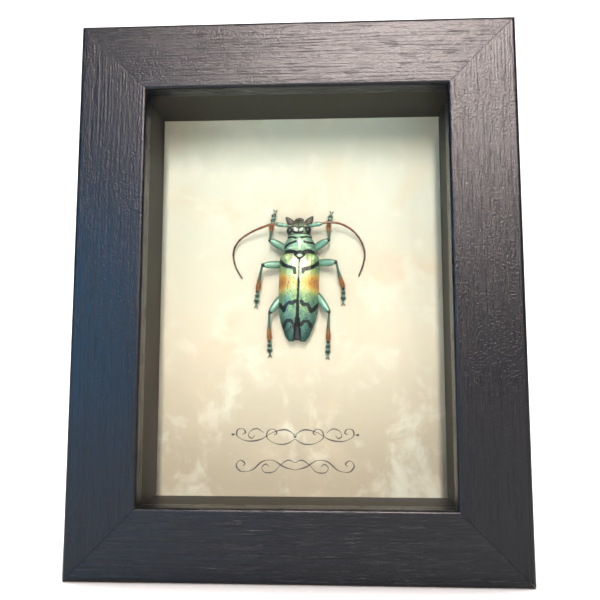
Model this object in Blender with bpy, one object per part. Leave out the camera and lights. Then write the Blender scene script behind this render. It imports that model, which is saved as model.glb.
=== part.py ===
"""A longhorn beetle in a small black shadow box.

The box stands on its bottom rail and faces -Y. The origin is at the bottom, in the middle of
the width and of the depth. The four rails are mitred. Behind their lips lie the glass, the
spacer strips, the card, the mount board and the backing board, in that order. The beetle is
modelled flat on the card, with X to the right, Y towards its head and Z off the card, and an
empty on the card's face stands it upright.
"""
import math

import bpy
import bmesh
from mathutils import Matrix, Vector

MM = 0.001

# Box
FRAME_WIDTH = 101.6 * MM
FRAME_HEIGHT = 127.0 * MM
RAIL_FACE = 15.875 * MM
RAIL_DEPTH = 34.925 * MM
LIP_THICKNESS = 4.8 * MM
RABBET = 3.6 * MM
OUTER_ROUND = 0.9 * MM
SIGHT_ROUND = 0.7 * MM
BACK_ROUND = 0.5 * MM
GAP = 0.3 * MM
ROUND_STEPS = 3

# Layers behind the lip
GLASS_THICKNESS = 2.0 * MM
SPACER_THICKNESS = 1.2 * MM
CARD_DEPTH = 25.4 * MM
CARD_THICKNESS = 0.4 * MM
MOUNT_BOARD_THICKNESS = 2.0 * MM
BACKING_THICKNESS = 2.0 * MM
SEAMED_EDGE = 0.25 * MM

# Framer's points
POINT_LENGTH = 10.0 * MM
POINT_WIDTH = 5.0 * MM
POINT_THICKNESS = 0.5 * MM
POINT_BITE = 3.5 * MM
POINT_TIP = 1.5 * MM
POINT_SPREAD = 26.0 * MM

# Sawtooth hanger
HANGER_LENGTH = 42.0 * MM
HANGER_HEIGHT = 8.0 * MM
HANGER_THICKNESS = 0.8 * MM
HANGER_RISE = 1.2 * MM
HANGER_EAR = 6.0 * MM
HANGER_SLOPE = 1.8 * MM
TOOTH_COUNT = 9
TOOTH_DEPTH = 1.4 * MM
NAIL_HEAD_RADIUS = 1.5 * MM
NAIL_HEAD_HEIGHT = 0.6 * MM
NAIL_SHANK_RADIUS = 0.6 * MM
NAIL_LENGTH = 7.0 * MM
NAIL_POINT_RADIUS = 0.1 * MM
NAIL_DOME = 0.7
NAIL_SIDES = 16

# Colours that several pieces share
STAIN = (0.016, 0.021, 0.028)
LINER = (0.045, 0.038, 0.030)
STEEL = (0.55, 0.55, 0.56)

# What follows from those
SIGHT_WIDTH = FRAME_WIDTH - 2 * RAIL_FACE
SIGHT_HEIGHT = FRAME_HEIGHT - 2 * RAIL_FACE
POCKET_WIDTH = SIGHT_WIDTH + 2 * RABBET
POCKET_HEIGHT = SIGHT_HEIGHT + 2 * RABBET
HANGER_STAND = GAP + HANGER_RISE + HANGER_THICKNESS
FRONT_Y = -(RAIL_DEPTH + HANGER_STAND) / 2
BACK_Y = FRONT_Y + RAIL_DEPTH
CARD_Y = FRONT_Y + CARD_DEPTH
MIDDLE_Z = FRAME_HEIGHT / 2
MITRE_SETBACK = GAP / 2 * math.sqrt(2)

# Beetle, in millimetres on the card: X to the right, Y to the head, Z off the card
REAR_TURN = math.radians(-1.85)
REAR_PIVOT = (0.0, 12.0)
HEAD_TURN = math.radians(1.0)
HEAD_PIVOT = (0.0, 16.0)
HEAD_SHIFT = -0.2
SUTURE_GROOVE = 0.28
SUTURE_WIDTH = 0.35
SUTURE_OVERLAP = 0.06
ELYTRON_ARCH = 2.5
ELYTRON_LIP = 0.6
UNDERSIDE_OUTER = 0.92
UNDERSIDE_MIDDLE = 0.45
ELYTRON_STEPS = 11
ELYTRA_SECTIONS = 21
BODY_SIDES = 22
BODY_ARCH = 2.3

# Each station: along the body, inner edge, outer edge, top and margin height of a wing case
ELYTRA = [
    (12.55, 0.00, 3.05, 5.00, 4.20),
    (12.0, 0.00, 4.20, 5.95, 3.90),
    (11.3, 0.00, 4.85, 6.60, 3.55),
    (10.2, 0.00, 5.15, 7.00, 3.20),
    (8.0, 0.00, 5.20, 7.20, 2.90),
    (5.0, 0.00, 5.20, 7.25, 2.70),
    (0.0, 0.00, 5.20, 7.00, 2.70),
    (-2.6, 0.00, 5.10, 6.65, 2.75),
    (-5.4, 0.08, 4.50, 6.00, 2.90),
    (-7.6, 0.40, 3.72, 5.30, 3.00),
    (-9.4, 0.65, 3.00, 4.55, 3.05),
    (-10.5, 0.82, 2.15, 4.00, 3.10),
]

# Each station: along the body, half width, top and bottom height
ABDOMEN = [
    (11.9, 2.60, 4.20, 1.20),
    (10.0, 4.30, 4.60, 0.45),
    (5.0, 4.55, 4.60, 0.35),
    (0.0, 4.50, 4.50, 0.35),
    (-4.0, 4.00, 4.30, 0.50),
    (-7.5, 2.60, 4.00, 1.00),
    (-9.6, 1.30, 3.60, 1.80),
    (-10.2, 0.60, 3.20, 2.40),
]
PRONOTUM = [
    (11.6, 3.45, 5.20, 1.30),
    (12.1, 3.85, 5.75, 0.90),
    (12.9, 3.92, 6.05, 0.70),
    (13.6, 4.00, 6.30, 0.65),
    (14.6, 3.95, 6.35, 0.70),
    (15.4, 3.60, 6.20, 0.80),
    (16.1, 3.20, 5.85, 1.00),
    (16.7, 3.12, 5.60, 1.15),
    (17.2, 2.85, 5.20, 1.30),
    (17.6, 2.40, 4.70, 1.70),
]
HEAD = [
    (16.6, 2.20, 4.70, 1.60),
    (17.4, 2.95, 5.25, 1.40),
    (18.3, 3.15, 5.45, 1.30),
    (19.2, 2.90, 5.25, 1.20),
    (20.0, 2.15, 4.75, 1.20),
    (20.8, 1.45, 4.15, 1.30),
    (21.5, 0.95, 3.55, 1.60),
]

# Each leg: where hip, knee, ankle and claws are
LEGS = {
    "fore_left": ((-1.9, 12.7, 2.2), (-7.80, 15.70, 4.4), (-7.53, 20.10, 1.8), (-6.70, 24.20, 0.8)),
    "fore_right": ((1.9, 12.7, 2.2), (7.50, 15.70, 4.4), (7.45, 19.95, 1.8), (8.25, 23.60, 0.8)),
    "mid_left": ((-2.4, 9.7, 2.2), (-9.55, 9.05, 5.0), (-11.10, 2.95, 1.8), (-11.60, -1.30, 0.8)),
    "mid_right": ((2.4, 9.8, 2.2), (9.38, 9.70, 5.0), (11.20, 3.65, 1.8), (11.20, -0.70, 0.8)),
    "hind_left": ((-3.0, 3.4, 2.2), (-7.70, -3.28, 4.8), (-7.95, -9.95, 1.8), (-7.90, -14.10, 0.8)),
    "hind_right": ((3.0, 3.6, 2.2), (7.55, -3.18, 4.8), (7.25, -10.15, 1.8), (7.10, -14.60, 0.8)),
}
FEMUR_WIDTHS = [(0.00, 0.90), (0.12, 1.25), (0.35, 1.80), (0.62, 2.00), (0.85, 1.62), (1.00, 0.85)]
TIBIA_WIDTHS = [(0.00, 0.70), (0.08, 0.62), (0.45, 0.72), (0.78, 1.12), (0.95, 1.20), (1.00, 0.90)]
TARSUS_WIDTHS = [
    (0.00, 0.62), (0.14, 1.10), (0.22, 0.78), (0.40, 1.28), (0.48, 0.88),
    (0.70, 1.50), (0.80, 0.66), (1.00, 0.52),
]
FEMUR_FLATNESS = 0.92
TARSUS_FLATNESS = 0.62
LIMB_SIDES = 8
LIMB_OVERLAP = 0.35
LIMB_LOOK_AHEAD = 0.02
CLAW_SIDES = 6
CLAW_LIFT = 0.03
CLAW_LINE = [(-0.22, 0.12), (0.22, 0.34), (0.46, 0.62)]
CLAW_WIDTHS = [(0.0, 0.34), (0.5, 0.30), (1.0, 0.14)]

# Each antenna: the scape from the head, then the points that the lash passes through
SCAPES = {
    "left": ((-2.5, 19.35, 4.1), (-6.30, 19.98, 4.2)),
    "right": ((2.0, 19.30, 4.1), (5.85, 20.02, 4.2)),
}
LASHES = {
    "left": [
        (-6.20, 19.98, 4.2), (-7.6, 19.85, 4.1), (-9.34, 19.36, 3.9), (-12.27, 18.31, 3.2),
        (-15.22, 16.78, 2.2), (-16.85, 15.10, 1.7), (-17.65, 12.95, 1.3), (-17.42, 10.46, 1.0),
        (-16.60, 8.30, 0.8), (-15.26, 6.17, 0.7),
    ],
    "right": [
        (5.75, 20.02, 4.2), (7.2, 20.30, 4.1), (10.05, 20.14, 3.7), (12.66, 19.10, 2.9),
        (14.71, 17.52, 2.1), (16.30, 15.05, 1.5), (16.92, 12.53, 1.2), (16.49, 9.80, 0.9),
        (15.32, 6.64, 0.7),
    ],
}
SCAPE_WIDTHS = [(0.00, 0.70), (0.25, 0.85), (0.62, 1.18), (0.88, 1.10), (1.00, 0.62)]
LASH_WIDTHS = [(0.00, 0.62), (0.10, 0.72), (0.50, 0.60), (1.00, 0.38)]
LASH_SIDES = 6
LASH_SECTIONS = 40

# Mandibles: the middle line of the right one and its width along it, mirrored for the left
MANDIBLE_LINE = [(1.20, 19.2, 2.4), (2.15, 20.35, 2.7), (2.95, 21.35, 2.9), (3.55, 22.15, 2.9)]
MANDIBLE_WIDTHS = [(0.0, 1.90), (0.38, 2.10), (0.66, 1.60), (0.88, 0.95), (1.0, 0.40)]
MANDIBLE_FLATNESS = 0.7

EYE_CENTRE = (2.25, 18.15, 4.2)
EYE_RADII = (0.92, 0.95, 1.10)
TUBERCLE_CENTRE = (1.75, 19.1, 4.6)
TUBERCLE_RADII = (0.95, 0.85, 0.75)
BALL_RINGS = 7
BALL_SIDES = 12
SCUTELLUM_CENTRE = (0.0, 11.35, 5.95)
SCUTELLUM_RADII = (0.85, 1.05, 0.42)


def clear_scene():
    """Remove whatever the file already holds."""
    for item in list(bpy.data.objects):
        bpy.data.objects.remove(item, do_unlink=True)


def paint(name, colour, roughness, metallic=0.0, alpha=1.0):
    """Make a Principled material."""
    material = bpy.data.materials.new(name)
    material.use_nodes = True
    shader = material.node_tree.nodes["Principled BSDF"]
    shader.inputs["Base Color"].default_value = (*colour, 1.0)
    shader.inputs["Roughness"].default_value = roughness
    shader.inputs["Metallic"].default_value = metallic
    shader.inputs["Alpha"].default_value = alpha
    return material


def place(name, mesh, material, parent=None, smooth_angle=None):
    """Link a named object for a mesh, with its material and its shading."""
    item = bpy.data.objects.new(name, mesh)
    bpy.context.scene.collection.objects.link(item)
    mesh.materials.clear()
    mesh.materials.append(material)
    item.parent = parent
    if smooth_angle is not None:
        mesh.shade_smooth()
        mesh.set_sharp_from_angle(angle=smooth_angle)
    return item


def skin(name, rings, tips=(False, False)):
    """Close a mesh over rings of equal length, each end by one face, or by a fan to a tip."""
    work = bmesh.new()
    rows = [[work.verts.new(point) for point in ring] for ring in rings]
    count = len(rows[0])
    for row, following in zip(rows, rows[1:]):
        for i in range(count):
            j = (i + 1) % count
            work.faces.new((row[i], row[j], following[j], following[i]))
    for row, tip in ((rows[0], tips[0]), (rows[-1], tips[1])):
        if tip:
            middle = sum((v.co for v in row), Vector()) / count
            centre = work.verts.new(middle)
            for i in range(count):
                work.faces.new((row[i], row[(i + 1) % count], centre))
        else:
            work.faces.new(row)
    bmesh.ops.recalc_face_normals(work, faces=work.faces)
    mesh = bpy.data.meshes.new(name)
    work.to_mesh(mesh)
    work.free()
    return mesh


def rounded(corners):
    """Outline with an arc at each right-angled corner that has a radius."""
    outline = []
    for i, (x, y, radius) in enumerate(corners):
        if radius == 0:
            outline.append((x, y))
            continue
        corner = Vector((x, y))
        before = (Vector(corners[i - 1][:2]) - corner).normalized()
        after = (Vector(corners[(i + 1) % len(corners)][:2]) - corner).normalized()
        centre = corner + radius * (before + after)
        for step in range(ROUND_STEPS + 1):
            turn = math.pi / 2 * step / ROUND_STEPS
            point = centre - radius * (after * math.cos(turn) + before * math.sin(turn))
            outline.append(tuple(point))
    return outline


def rail_outline():
    """Rail's cross-section: how far in from the outer side, and how deep from the front."""
    return rounded([
        (0.0, 0.0, OUTER_ROUND),
        (RAIL_FACE, 0.0, SIGHT_ROUND),
        (RAIL_FACE, LIP_THICKNESS, SIGHT_ROUND / 2),
        (RAIL_FACE - RABBET, LIP_THICKNESS, 0.0),
        (RAIL_FACE - RABBET, RAIL_DEPTH, BACK_ROUND),
        (0.0, RAIL_DEPTH, BACK_ROUND),
    ])


def rail_mesh(name, length, offset):
    """A mitred rail below the middle of the box, to be turned to its side."""
    rings = []
    for side in (-1, 1):
        ring = []
        for inward, depth in rail_outline():
            reach = length / 2 - inward - MITRE_SETBACK
            ring.append((side * reach, FRONT_Y + depth, inward - offset))
        rings.append(ring)
    return skin(name, rings)


def box_mesh(name, low, high, edge=0.0):
    """A box between two corners, its edges eased where an edge width is given."""
    work = bmesh.new()
    bmesh.ops.create_cube(work, size=1.0)
    for vert in work.verts:
        vert.co = Vector(low[k] + (vert.co[k] + 0.5) * (high[k] - low[k]) for k in range(3))
    if edge:
        bmesh.ops.bevel(work, geom=work.edges[:], offset=edge, segments=1, affect="EDGES")
    mesh = bpy.data.meshes.new(name)
    work.to_mesh(mesh)
    work.free()
    return mesh


def cut(item, name, mesh):
    """Take a shape out of an object with a Boolean modifier."""
    tool = bpy.data.objects.new(name, mesh)
    bpy.context.scene.collection.objects.link(tool)
    tool.display_type = "WIRE"
    tool.hide_render = True
    modifier = item.modifiers.new(name, "BOOLEAN")
    modifier.operation = "DIFFERENCE"
    modifier.solver = "EXACT"
    modifier.object = tool


def build_rails():
    """The four rails, from one section, turned about the middle of the box."""
    sides = {
        "rail_bottom": (FRAME_WIDTH, FRAME_HEIGHT / 2, 0),
        "rail_left": (FRAME_HEIGHT, FRAME_WIDTH / 2, 90),
        "rail_top": (FRAME_WIDTH, FRAME_HEIGHT / 2, 180),
        "rail_right": (FRAME_HEIGHT, FRAME_WIDTH / 2, 270),
    }
    rails = {}
    for name, (length, offset, turn) in sides.items():
        stain = paint(name + "_stain", STAIN, 0.42)
        rail = place(name, rail_mesh(name, length, offset), stain, smooth_angle=math.radians(35))
        rail.location = (0, 0, MIDDLE_Z)
        rail.rotation_euler = (0, math.radians(turn), 0)
        rails[name] = rail
    return rails


def layer(name, depth, thickness, material, edge=0.0):
    """A sheet that fills the pocket behind the lips, clear of its walls."""
    half_width = POCKET_WIDTH / 2 - GAP
    half_height = POCKET_HEIGHT / 2 - GAP
    low = (-half_width, FRONT_Y + depth, MIDDLE_Z - half_height)
    high = (half_width, FRONT_Y + depth + thickness, MIDDLE_Z + half_height)
    return place(name, box_mesh(name, low, high, edge), material)


def build_layers():
    """Glass, spacer strips, card and boards, from the front to the back."""
    glass_depth = LIP_THICKNESS + GAP
    clear = paint("clear_glass", (0.9, 0.95, 0.93), 0.03, alpha=0.15)
    layer("glass", glass_depth, GLASS_THICKNESS, clear, SEAMED_EDGE)
    front = FRONT_Y + glass_depth + GLASS_THICKNESS + GAP
    back = CARD_Y - GAP
    outer_x, outer_z = POCKET_WIDTH / 2 - GAP, POCKET_HEIGHT / 2 - GAP
    inner_x, inner_z = outer_x - SPACER_THICKNESS, outer_z - SPACER_THICKNESS
    strips = {
        "spacer_bottom": ((-outer_x, -outer_z), (outer_x, -inner_z)),
        "spacer_top": ((-outer_x, inner_z), (outer_x, outer_z)),
        "spacer_left": ((-outer_x, -inner_z + GAP), (-inner_x, inner_z - GAP)),
        "spacer_right": ((inner_x, -inner_z + GAP), (outer_x, inner_z - GAP)),
    }
    for name, ((x0, z0), (x1, z1)) in strips.items():
        low, high = (x0, front, MIDDLE_Z + z0), (x1, back, MIDDLE_Z + z1)
        place(name, box_mesh(name, low, high), paint(name + "_liner", LINER, 0.6))
    layer("card", CARD_DEPTH, CARD_THICKNESS, paint("parchment", (0.83, 0.79, 0.63), 0.8))
    mount_depth = CARD_DEPTH + CARD_THICKNESS + GAP
    grey = paint("grey_board", (0.42, 0.40, 0.36), 0.9)
    layer("mount_board", mount_depth, MOUNT_BOARD_THICKNESS, grey)
    backing_depth = mount_depth + MOUNT_BOARD_THICKNESS + GAP
    hardboard = paint("hardboard", (0.23, 0.12, 0.055), 0.75)
    layer("backing_board", backing_depth, BACKING_THICKNESS, hardboard, SEAMED_EDGE)
    return backing_depth + BACKING_THICKNESS + GAP


def point_outline(grow=0.0):
    """A framer's point seen flat: a tab with a tapered end that bites into the rail."""
    half = POINT_WIDTH / 2 + grow
    inner = -(POINT_LENGTH - POINT_BITE)
    outer = POINT_BITE + grow
    return [(-half, inner - grow), (half, inner - grow), (half, outer - POINT_TIP),
            (half - POINT_TIP, outer), (-half + POINT_TIP, outer), (-half, outer - POINT_TIP)]


def point_mesh(name, depth, turn, place_at, grow=0.0):
    """Stand a point's outline up behind the backing board, pointing out from the middle."""
    along = Matrix.Rotation(math.radians(turn), 2)
    rings = []
    for back in (-grow, POINT_THICKNESS + grow):
        ring = []
        for across, outward in point_outline(grow):
            flat = along @ Vector((across, outward)) + Vector(place_at)
            ring.append((flat.x, FRONT_Y + depth + back, MIDDLE_Z + flat.y))
        rings.append(ring)
    return skin(name, rings)


def build_points(rails, depth):
    """Six framer's points, each in a slot of the rail beside it."""
    x, z = POCKET_WIDTH / 2, POCKET_HEIGHT / 2
    points = {
        "point_top": (0, (0.0, z), "rail_top"),
        "point_bottom": (180, (0.0, -z), "rail_bottom"),
        "point_left_upper": (90, (-x, POINT_SPREAD), "rail_left"),
        "point_left_lower": (90, (-x, -POINT_SPREAD), "rail_left"),
        "point_right_upper": (270, (x, POINT_SPREAD), "rail_right"),
        "point_right_lower": (270, (x, -POINT_SPREAD), "rail_right"),
    }
    for name, (turn, at, rail) in points.items():
        place(name, point_mesh(name, depth, turn, at), paint(name + "_steel", STEEL, 0.35, 1.0))
        slot = point_mesh(name + "_slot", depth, turn, at, GAP)
        cut(rails[rail], name + "_slot", slot)


def hanger_columns():
    """The hanger from end to end: place along it, lower edge and how far it stands out."""
    half = HANGER_LENGTH / 2
    flat = half - HANGER_EAR
    raised = flat - HANGER_SLOPE
    columns = [(-half, 0.0, 0.0), (-flat, 0.0, 0.0)]
    pitch = 2 * raised / TOOTH_COUNT
    for tooth in range(TOOTH_COUNT):
        start = -raised + tooth * pitch
        columns.append((start, 0.0, HANGER_RISE))
        columns.append((start + pitch / 2, TOOTH_DEPTH, HANGER_RISE))
    columns.append((raised, 0.0, HANGER_RISE))
    columns += [(flat, 0.0, 0.0), (half, 0.0, 0.0)]
    return columns


def turned_mesh(name, profile, centre):
    """A turned piece along Y, from its profile of places along Y and radii."""
    turns = [2 * math.pi * i / NAIL_SIDES for i in range(NAIL_SIDES)]
    rings = [[(centre[0] + radius * math.cos(t), y, centre[1] + radius * math.sin(t)) for t in turns]
             for y, radius in profile]
    return skin(name, rings)


def nail_profile(head_y):
    """A nail from its point, through its shank, to its low domed head."""
    point_y = head_y - NAIL_LENGTH
    return [
        (point_y, NAIL_POINT_RADIUS),
        (point_y + 2 * NAIL_SHANK_RADIUS, NAIL_SHANK_RADIUS),
        (head_y, NAIL_SHANK_RADIUS),
        (head_y, NAIL_HEAD_RADIUS),
        (head_y + NAIL_HEAD_HEIGHT / 2, NAIL_HEAD_RADIUS),
        (head_y + NAIL_HEAD_HEIGHT, NAIL_HEAD_RADIUS * NAIL_DOME),
    ]


def build_hanger(rails):
    """The sawtooth hanger on the back of the top rail, with its two nails."""
    middle_z = FRAME_HEIGHT - (RAIL_FACE - RABBET) / 2
    low_z = middle_z - HANGER_HEIGHT / 2
    rings = []
    for x, lift, rise in hanger_columns():
        front = BACK_Y + GAP + rise
        back = front + HANGER_THICKNESS
        rings.append([(x, front, low_z + lift), (x, front, low_z + HANGER_HEIGHT),
                      (x, back, low_z + HANGER_HEIGHT), (x, back, low_z + lift)])
    hanger = place("hanger", skin("hanger", rings), paint("hanger_steel", STEEL, 0.35, 1.0))
    nail_x = (HANGER_LENGTH - HANGER_EAR) / 2
    head_y = BACK_Y + 2 * GAP + HANGER_THICKNESS
    hole_radius = NAIL_SHANK_RADIUS + GAP
    for side, x in (("left", -nail_x), ("right", nail_x)):
        name = "hanger_nail_" + side
        at = (x, middle_z)
        steel = paint(name + "_steel", STEEL, 0.3, 1.0)
        place(name, turned_mesh(name, nail_profile(head_y), at), steel, None, math.radians(40))
        eye = [(BACK_Y + GAP / 2, hole_radius), (head_y, hole_radius)]
        cut(hanger, name + "_eye", turned_mesh(name + "_eye", eye, at))
        bore = [(head_y - NAIL_LENGTH - GAP, hole_radius), (BACK_Y + GAP, hole_radius)]
        cut(rails["rail_top"], name + "_bore", turned_mesh(name + "_bore", bore, at))


def between(stations, at):
    """Read a table of stations at a place, on a smooth curve through them."""
    rising = sorted(stations)
    keys = [row[0] for row in rising]
    at = min(max(at, keys[0]), keys[-1])
    i = max(k for k in range(len(keys) - 1) if keys[k] <= at)
    span = keys[i + 1] - keys[i]
    t = (at - keys[i]) / span
    before, after = max(i - 1, 0), min(i + 2, len(keys) - 1)
    values = []
    for p0, p1, p2, p3 in zip(rising[before][1:], rising[i][1:], rising[i + 1][1:], rising[after][1:]):
        m1 = (p2 - p0) / max(keys[i + 1] - keys[before], span) * span
        m2 = (p3 - p1) / max(keys[after] - keys[i], span) * span
        values.append((2 * t**3 - 3 * t**2 + 1) * p1 + (t**3 - 2 * t**2 + t) * m1
                      + (3 * t**2 - 2 * t**3) * p2 + (t**3 - t**2) * m2)
    return values


def turned(point, pivot, angle):
    """Turn a point of the beetle about a pivot on the card."""
    x, y = point[0] - pivot[0], point[1] - pivot[1]
    c, s = math.cos(angle), math.sin(angle)
    return (pivot[0] + c * x - s * y, pivot[1] + s * x + c * y, point[2])


def spread(stations, count):
    """Places from the first station to the last, closer together at both ends."""
    first, last = stations[0][0], stations[-1][0]
    turns = [0.5 - 0.5 * math.cos(math.pi * i / (count - 1)) for i in range(count)]
    return [first + (last - first) * t for t in turns]


def elytron(side):
    """One wing case: an arched shell from the suture to the margin, closed below."""
    rings = []
    for along in spread(ELYTRA, ELYTRA_SECTIONS):
        inner, outer, top, margin = between(ELYTRA, along)
        floor = margin - ELYTRON_LIP
        ring = []
        for step in range(ELYTRON_STEPS + 1):
            turn = math.pi / 2 * step / ELYTRON_STEPS
            across = math.sin(turn) ** (2 / ELYTRON_ARCH)
            arch = max(math.cos(turn), 0.0) ** (2 / ELYTRON_ARCH)
            x = inner + (outer - inner) * across
            groove = SUTURE_GROOVE * math.exp(-((x - inner) / SUTURE_WIDTH) ** 2)
            ring.append((x, along, margin + (top - margin) * arch - groove))
        ring.append((inner + UNDERSIDE_OUTER * (outer - inner), along, floor))
        ring.append((inner + UNDERSIDE_MIDDLE * (outer - inner), along, floor - ELYTRON_LIP / 2))
        ring.append((inner - SUTURE_OVERLAP, along, floor - ELYTRON_LIP / 2))
        ring.append((inner - SUTURE_OVERLAP, along, top - 1.5 * SUTURE_GROOVE))
        ring = [turned((side * x, y, z), REAR_PIVOT, REAR_TURN) for x, y, z in ring]
        rings.append(ring)
    return skin("elytron", rings)


def rounded_step(value):
    """Bring a sine or cosine to the power that squares a body section's corners a little."""
    return math.copysign(abs(value) ** (2 / BODY_ARCH), value)


def barrel(stations, count, pivot, angle, shift=0.0):
    """A body segment: a tube with a rounded section that follows its stations."""
    rings = []
    for along in spread(stations, count):
        half, top, bottom = between(stations, along)
        ring = []
        for i in range(BODY_SIDES):
            turn = 2 * math.pi * i / BODY_SIDES
            x = shift + half * rounded_step(math.cos(turn))
            z = (top + bottom) / 2 + (top - bottom) / 2 * rounded_step(math.sin(turn))
            ring.append(turned((x, along, z), pivot, angle))
        rings.append(ring)
    return skin("segment", rings, tips=(True, True))


def limb(line, widths, sides=LIMB_SIDES, flatness=1.0, sections=None):
    """A tube along a line of points, as wide as its table says, closed at both ends."""
    path = [Vector(point) for point in line]
    lengths = [0.0]
    for a, b in zip(path, path[1:]):
        lengths.append(lengths[-1] + (b - a).length)
    route = [(length / lengths[-1], *point) for length, point in zip(lengths, path)]
    places = [row[0] for row in widths]
    if sections:
        places = [i / (sections - 1) for i in range(sections)]
    rings = []
    for at in places:
        centre = Vector(between(route, at))
        ahead = Vector(between(route, at + LIMB_LOOK_AHEAD))
        ahead -= Vector(between(route, at - LIMB_LOOK_AHEAD))
        width, = between(widths, at)
        sideways = ahead.cross(Vector((0, 0, 1))).normalized()
        upward = sideways.cross(ahead).normalized()
        ring = []
        for i in range(sides):
            turn = 2 * math.pi * (i + 0.5) / sides
            out = sideways * math.cos(turn) + upward * math.sin(turn) * flatness
            ring.append(tuple(centre + out * width / 2))
        rings.append(ring)
    return skin("limb", rings, tips=(True, True))


def ellipsoid(centre, radii):
    """A low sphere stretched to three radii."""
    work = bmesh.new()
    bmesh.ops.create_uvsphere(work, u_segments=BALL_SIDES, v_segments=BALL_RINGS, radius=1.0)
    for vert in work.verts:
        vert.co = Vector(centre[k] + vert.co[k] * radii[k] for k in range(3))
    mesh = bpy.data.meshes.new("ellipsoid")
    work.to_mesh(mesh)
    work.free()
    return mesh


def leg(hip, knee, ankle, claws):
    """Thigh, shin, lobed foot and its two claws."""
    hip, knee, ankle, claws = (Vector(point) for point in (hip, knee, ankle, claws))
    parts = [limb([hip, knee], FEMUR_WIDTHS, flatness=FEMUR_FLATNESS)]
    shin = (ankle - knee).normalized()
    parts.append(limb([knee - shin * LIMB_OVERLAP, ankle], TIBIA_WIDTHS))
    foot = (claws - ankle).normalized()
    foot_line = [ankle - foot * LIMB_OVERLAP, claws]
    parts.append(limb(foot_line, TARSUS_WIDTHS, flatness=TARSUS_FLATNESS))
    across = foot.cross(Vector((0, 0, 1))).normalized()
    for side in (-1, 1):
        line = [claws + foot * ahead + across * side * out for ahead, out in CLAW_LINE]
        line[0].z += side * CLAW_LIFT
        parts.append(limb(line, CLAW_WIDTHS, sides=CLAW_SIDES))
    return parts


def fuse(name, meshes):
    """One closed solid in metres from closed meshes in millimetres that overlap."""
    base = bpy.data.objects.new(name, meshes[0])
    bpy.context.scene.collection.objects.link(base)
    tools = []
    for mesh in meshes[1:]:
        tool = bpy.data.objects.new(name + "_tool", mesh)
        bpy.context.scene.collection.objects.link(tool)
        tools.append(tool)
        modifier = base.modifiers.new("union", "BOOLEAN")
        modifier.operation = "UNION"
        modifier.solver = "EXACT"
        modifier.object = tool
    seen = base.evaluated_get(bpy.context.evaluated_depsgraph_get())
    mesh = bpy.data.meshes.new_from_object(seen)
    mesh.transform(Matrix.Scale(MM, 4))
    for item in [base, *tools]:
        bpy.data.objects.remove(item, do_unlink=True)
    mesh.name = name
    return mesh


def build_beetle():
    """The beetle as one solid, stood up on the card's face by an empty."""
    meshes = [
        barrel(ABDOMEN, 12, REAR_PIVOT, REAR_TURN),
        elytron(-1),
        elytron(1),
        barrel(PRONOTUM, 12, HEAD_PIVOT, 0.0),
        barrel(HEAD, 10, HEAD_PIVOT, HEAD_TURN, HEAD_SHIFT),
        ellipsoid(SCUTELLUM_CENTRE, SCUTELLUM_RADII),
    ]
    for side in (-1, 1):
        def mirrored(point, shift=0.0):
            return turned((side * point[0] + shift, *point[1:]), HEAD_PIVOT, HEAD_TURN)
        meshes.append(ellipsoid(mirrored(EYE_CENTRE, HEAD_SHIFT), EYE_RADII))
        meshes.append(ellipsoid(mirrored(TUBERCLE_CENTRE, HEAD_SHIFT), TUBERCLE_RADII))
        meshes.append(limb([mirrored(p) for p in MANDIBLE_LINE], MANDIBLE_WIDTHS,
                           flatness=MANDIBLE_FLATNESS))
    for side in ("left", "right"):
        meshes.append(limb(SCAPES[side], SCAPE_WIDTHS))
        meshes.append(limb(LASHES[side], LASH_WIDTHS, LASH_SIDES, sections=LASH_SECTIONS))
    for joints in LEGS.values():
        meshes += leg(*joints)
    card_face = bpy.data.objects.new("card_face", None)
    bpy.context.scene.collection.objects.link(card_face)
    card_face.location = (0, CARD_Y, MIDDLE_Z)
    card_face.rotation_euler = (math.radians(90), 0, 0)
    shell = paint("beetle_shell", (0.16, 0.36, 0.22), 0.4, 0.3)
    place("beetle", fuse("beetle", meshes), shell, card_face, smooth_angle=math.radians(50))


def main():
    """Build the box, what it holds, and the beetle."""
    clear_scene()
    rails = build_rails()
    point_depth = build_layers()
    build_points(rails, point_depth)
    build_hanger(rails)
    build_beetle()


main()
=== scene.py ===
"""Looks of a longhorn beetle in a black shadow box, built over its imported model.

The rails, the card and the beetle are made again here in full detail, in the places of their
nodes. The glass, liner strips, boards, framer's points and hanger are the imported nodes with
finishes of their own. The beetle is modelled flat on the card in millimetres, with X to the
right, Y towards its head and Z off the card, and is then stood upright on the card's face.
"""
from __future__ import annotations

import logging
import math
from collections.abc import Callable, Sequence
from dataclasses import dataclass, field
from enum import Enum
from typing import Any

import bpy
import numpy as np
from mathutils import Matrix, Vector, noise
from mathutils.geometry import delaunay_2d_cdt

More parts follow.
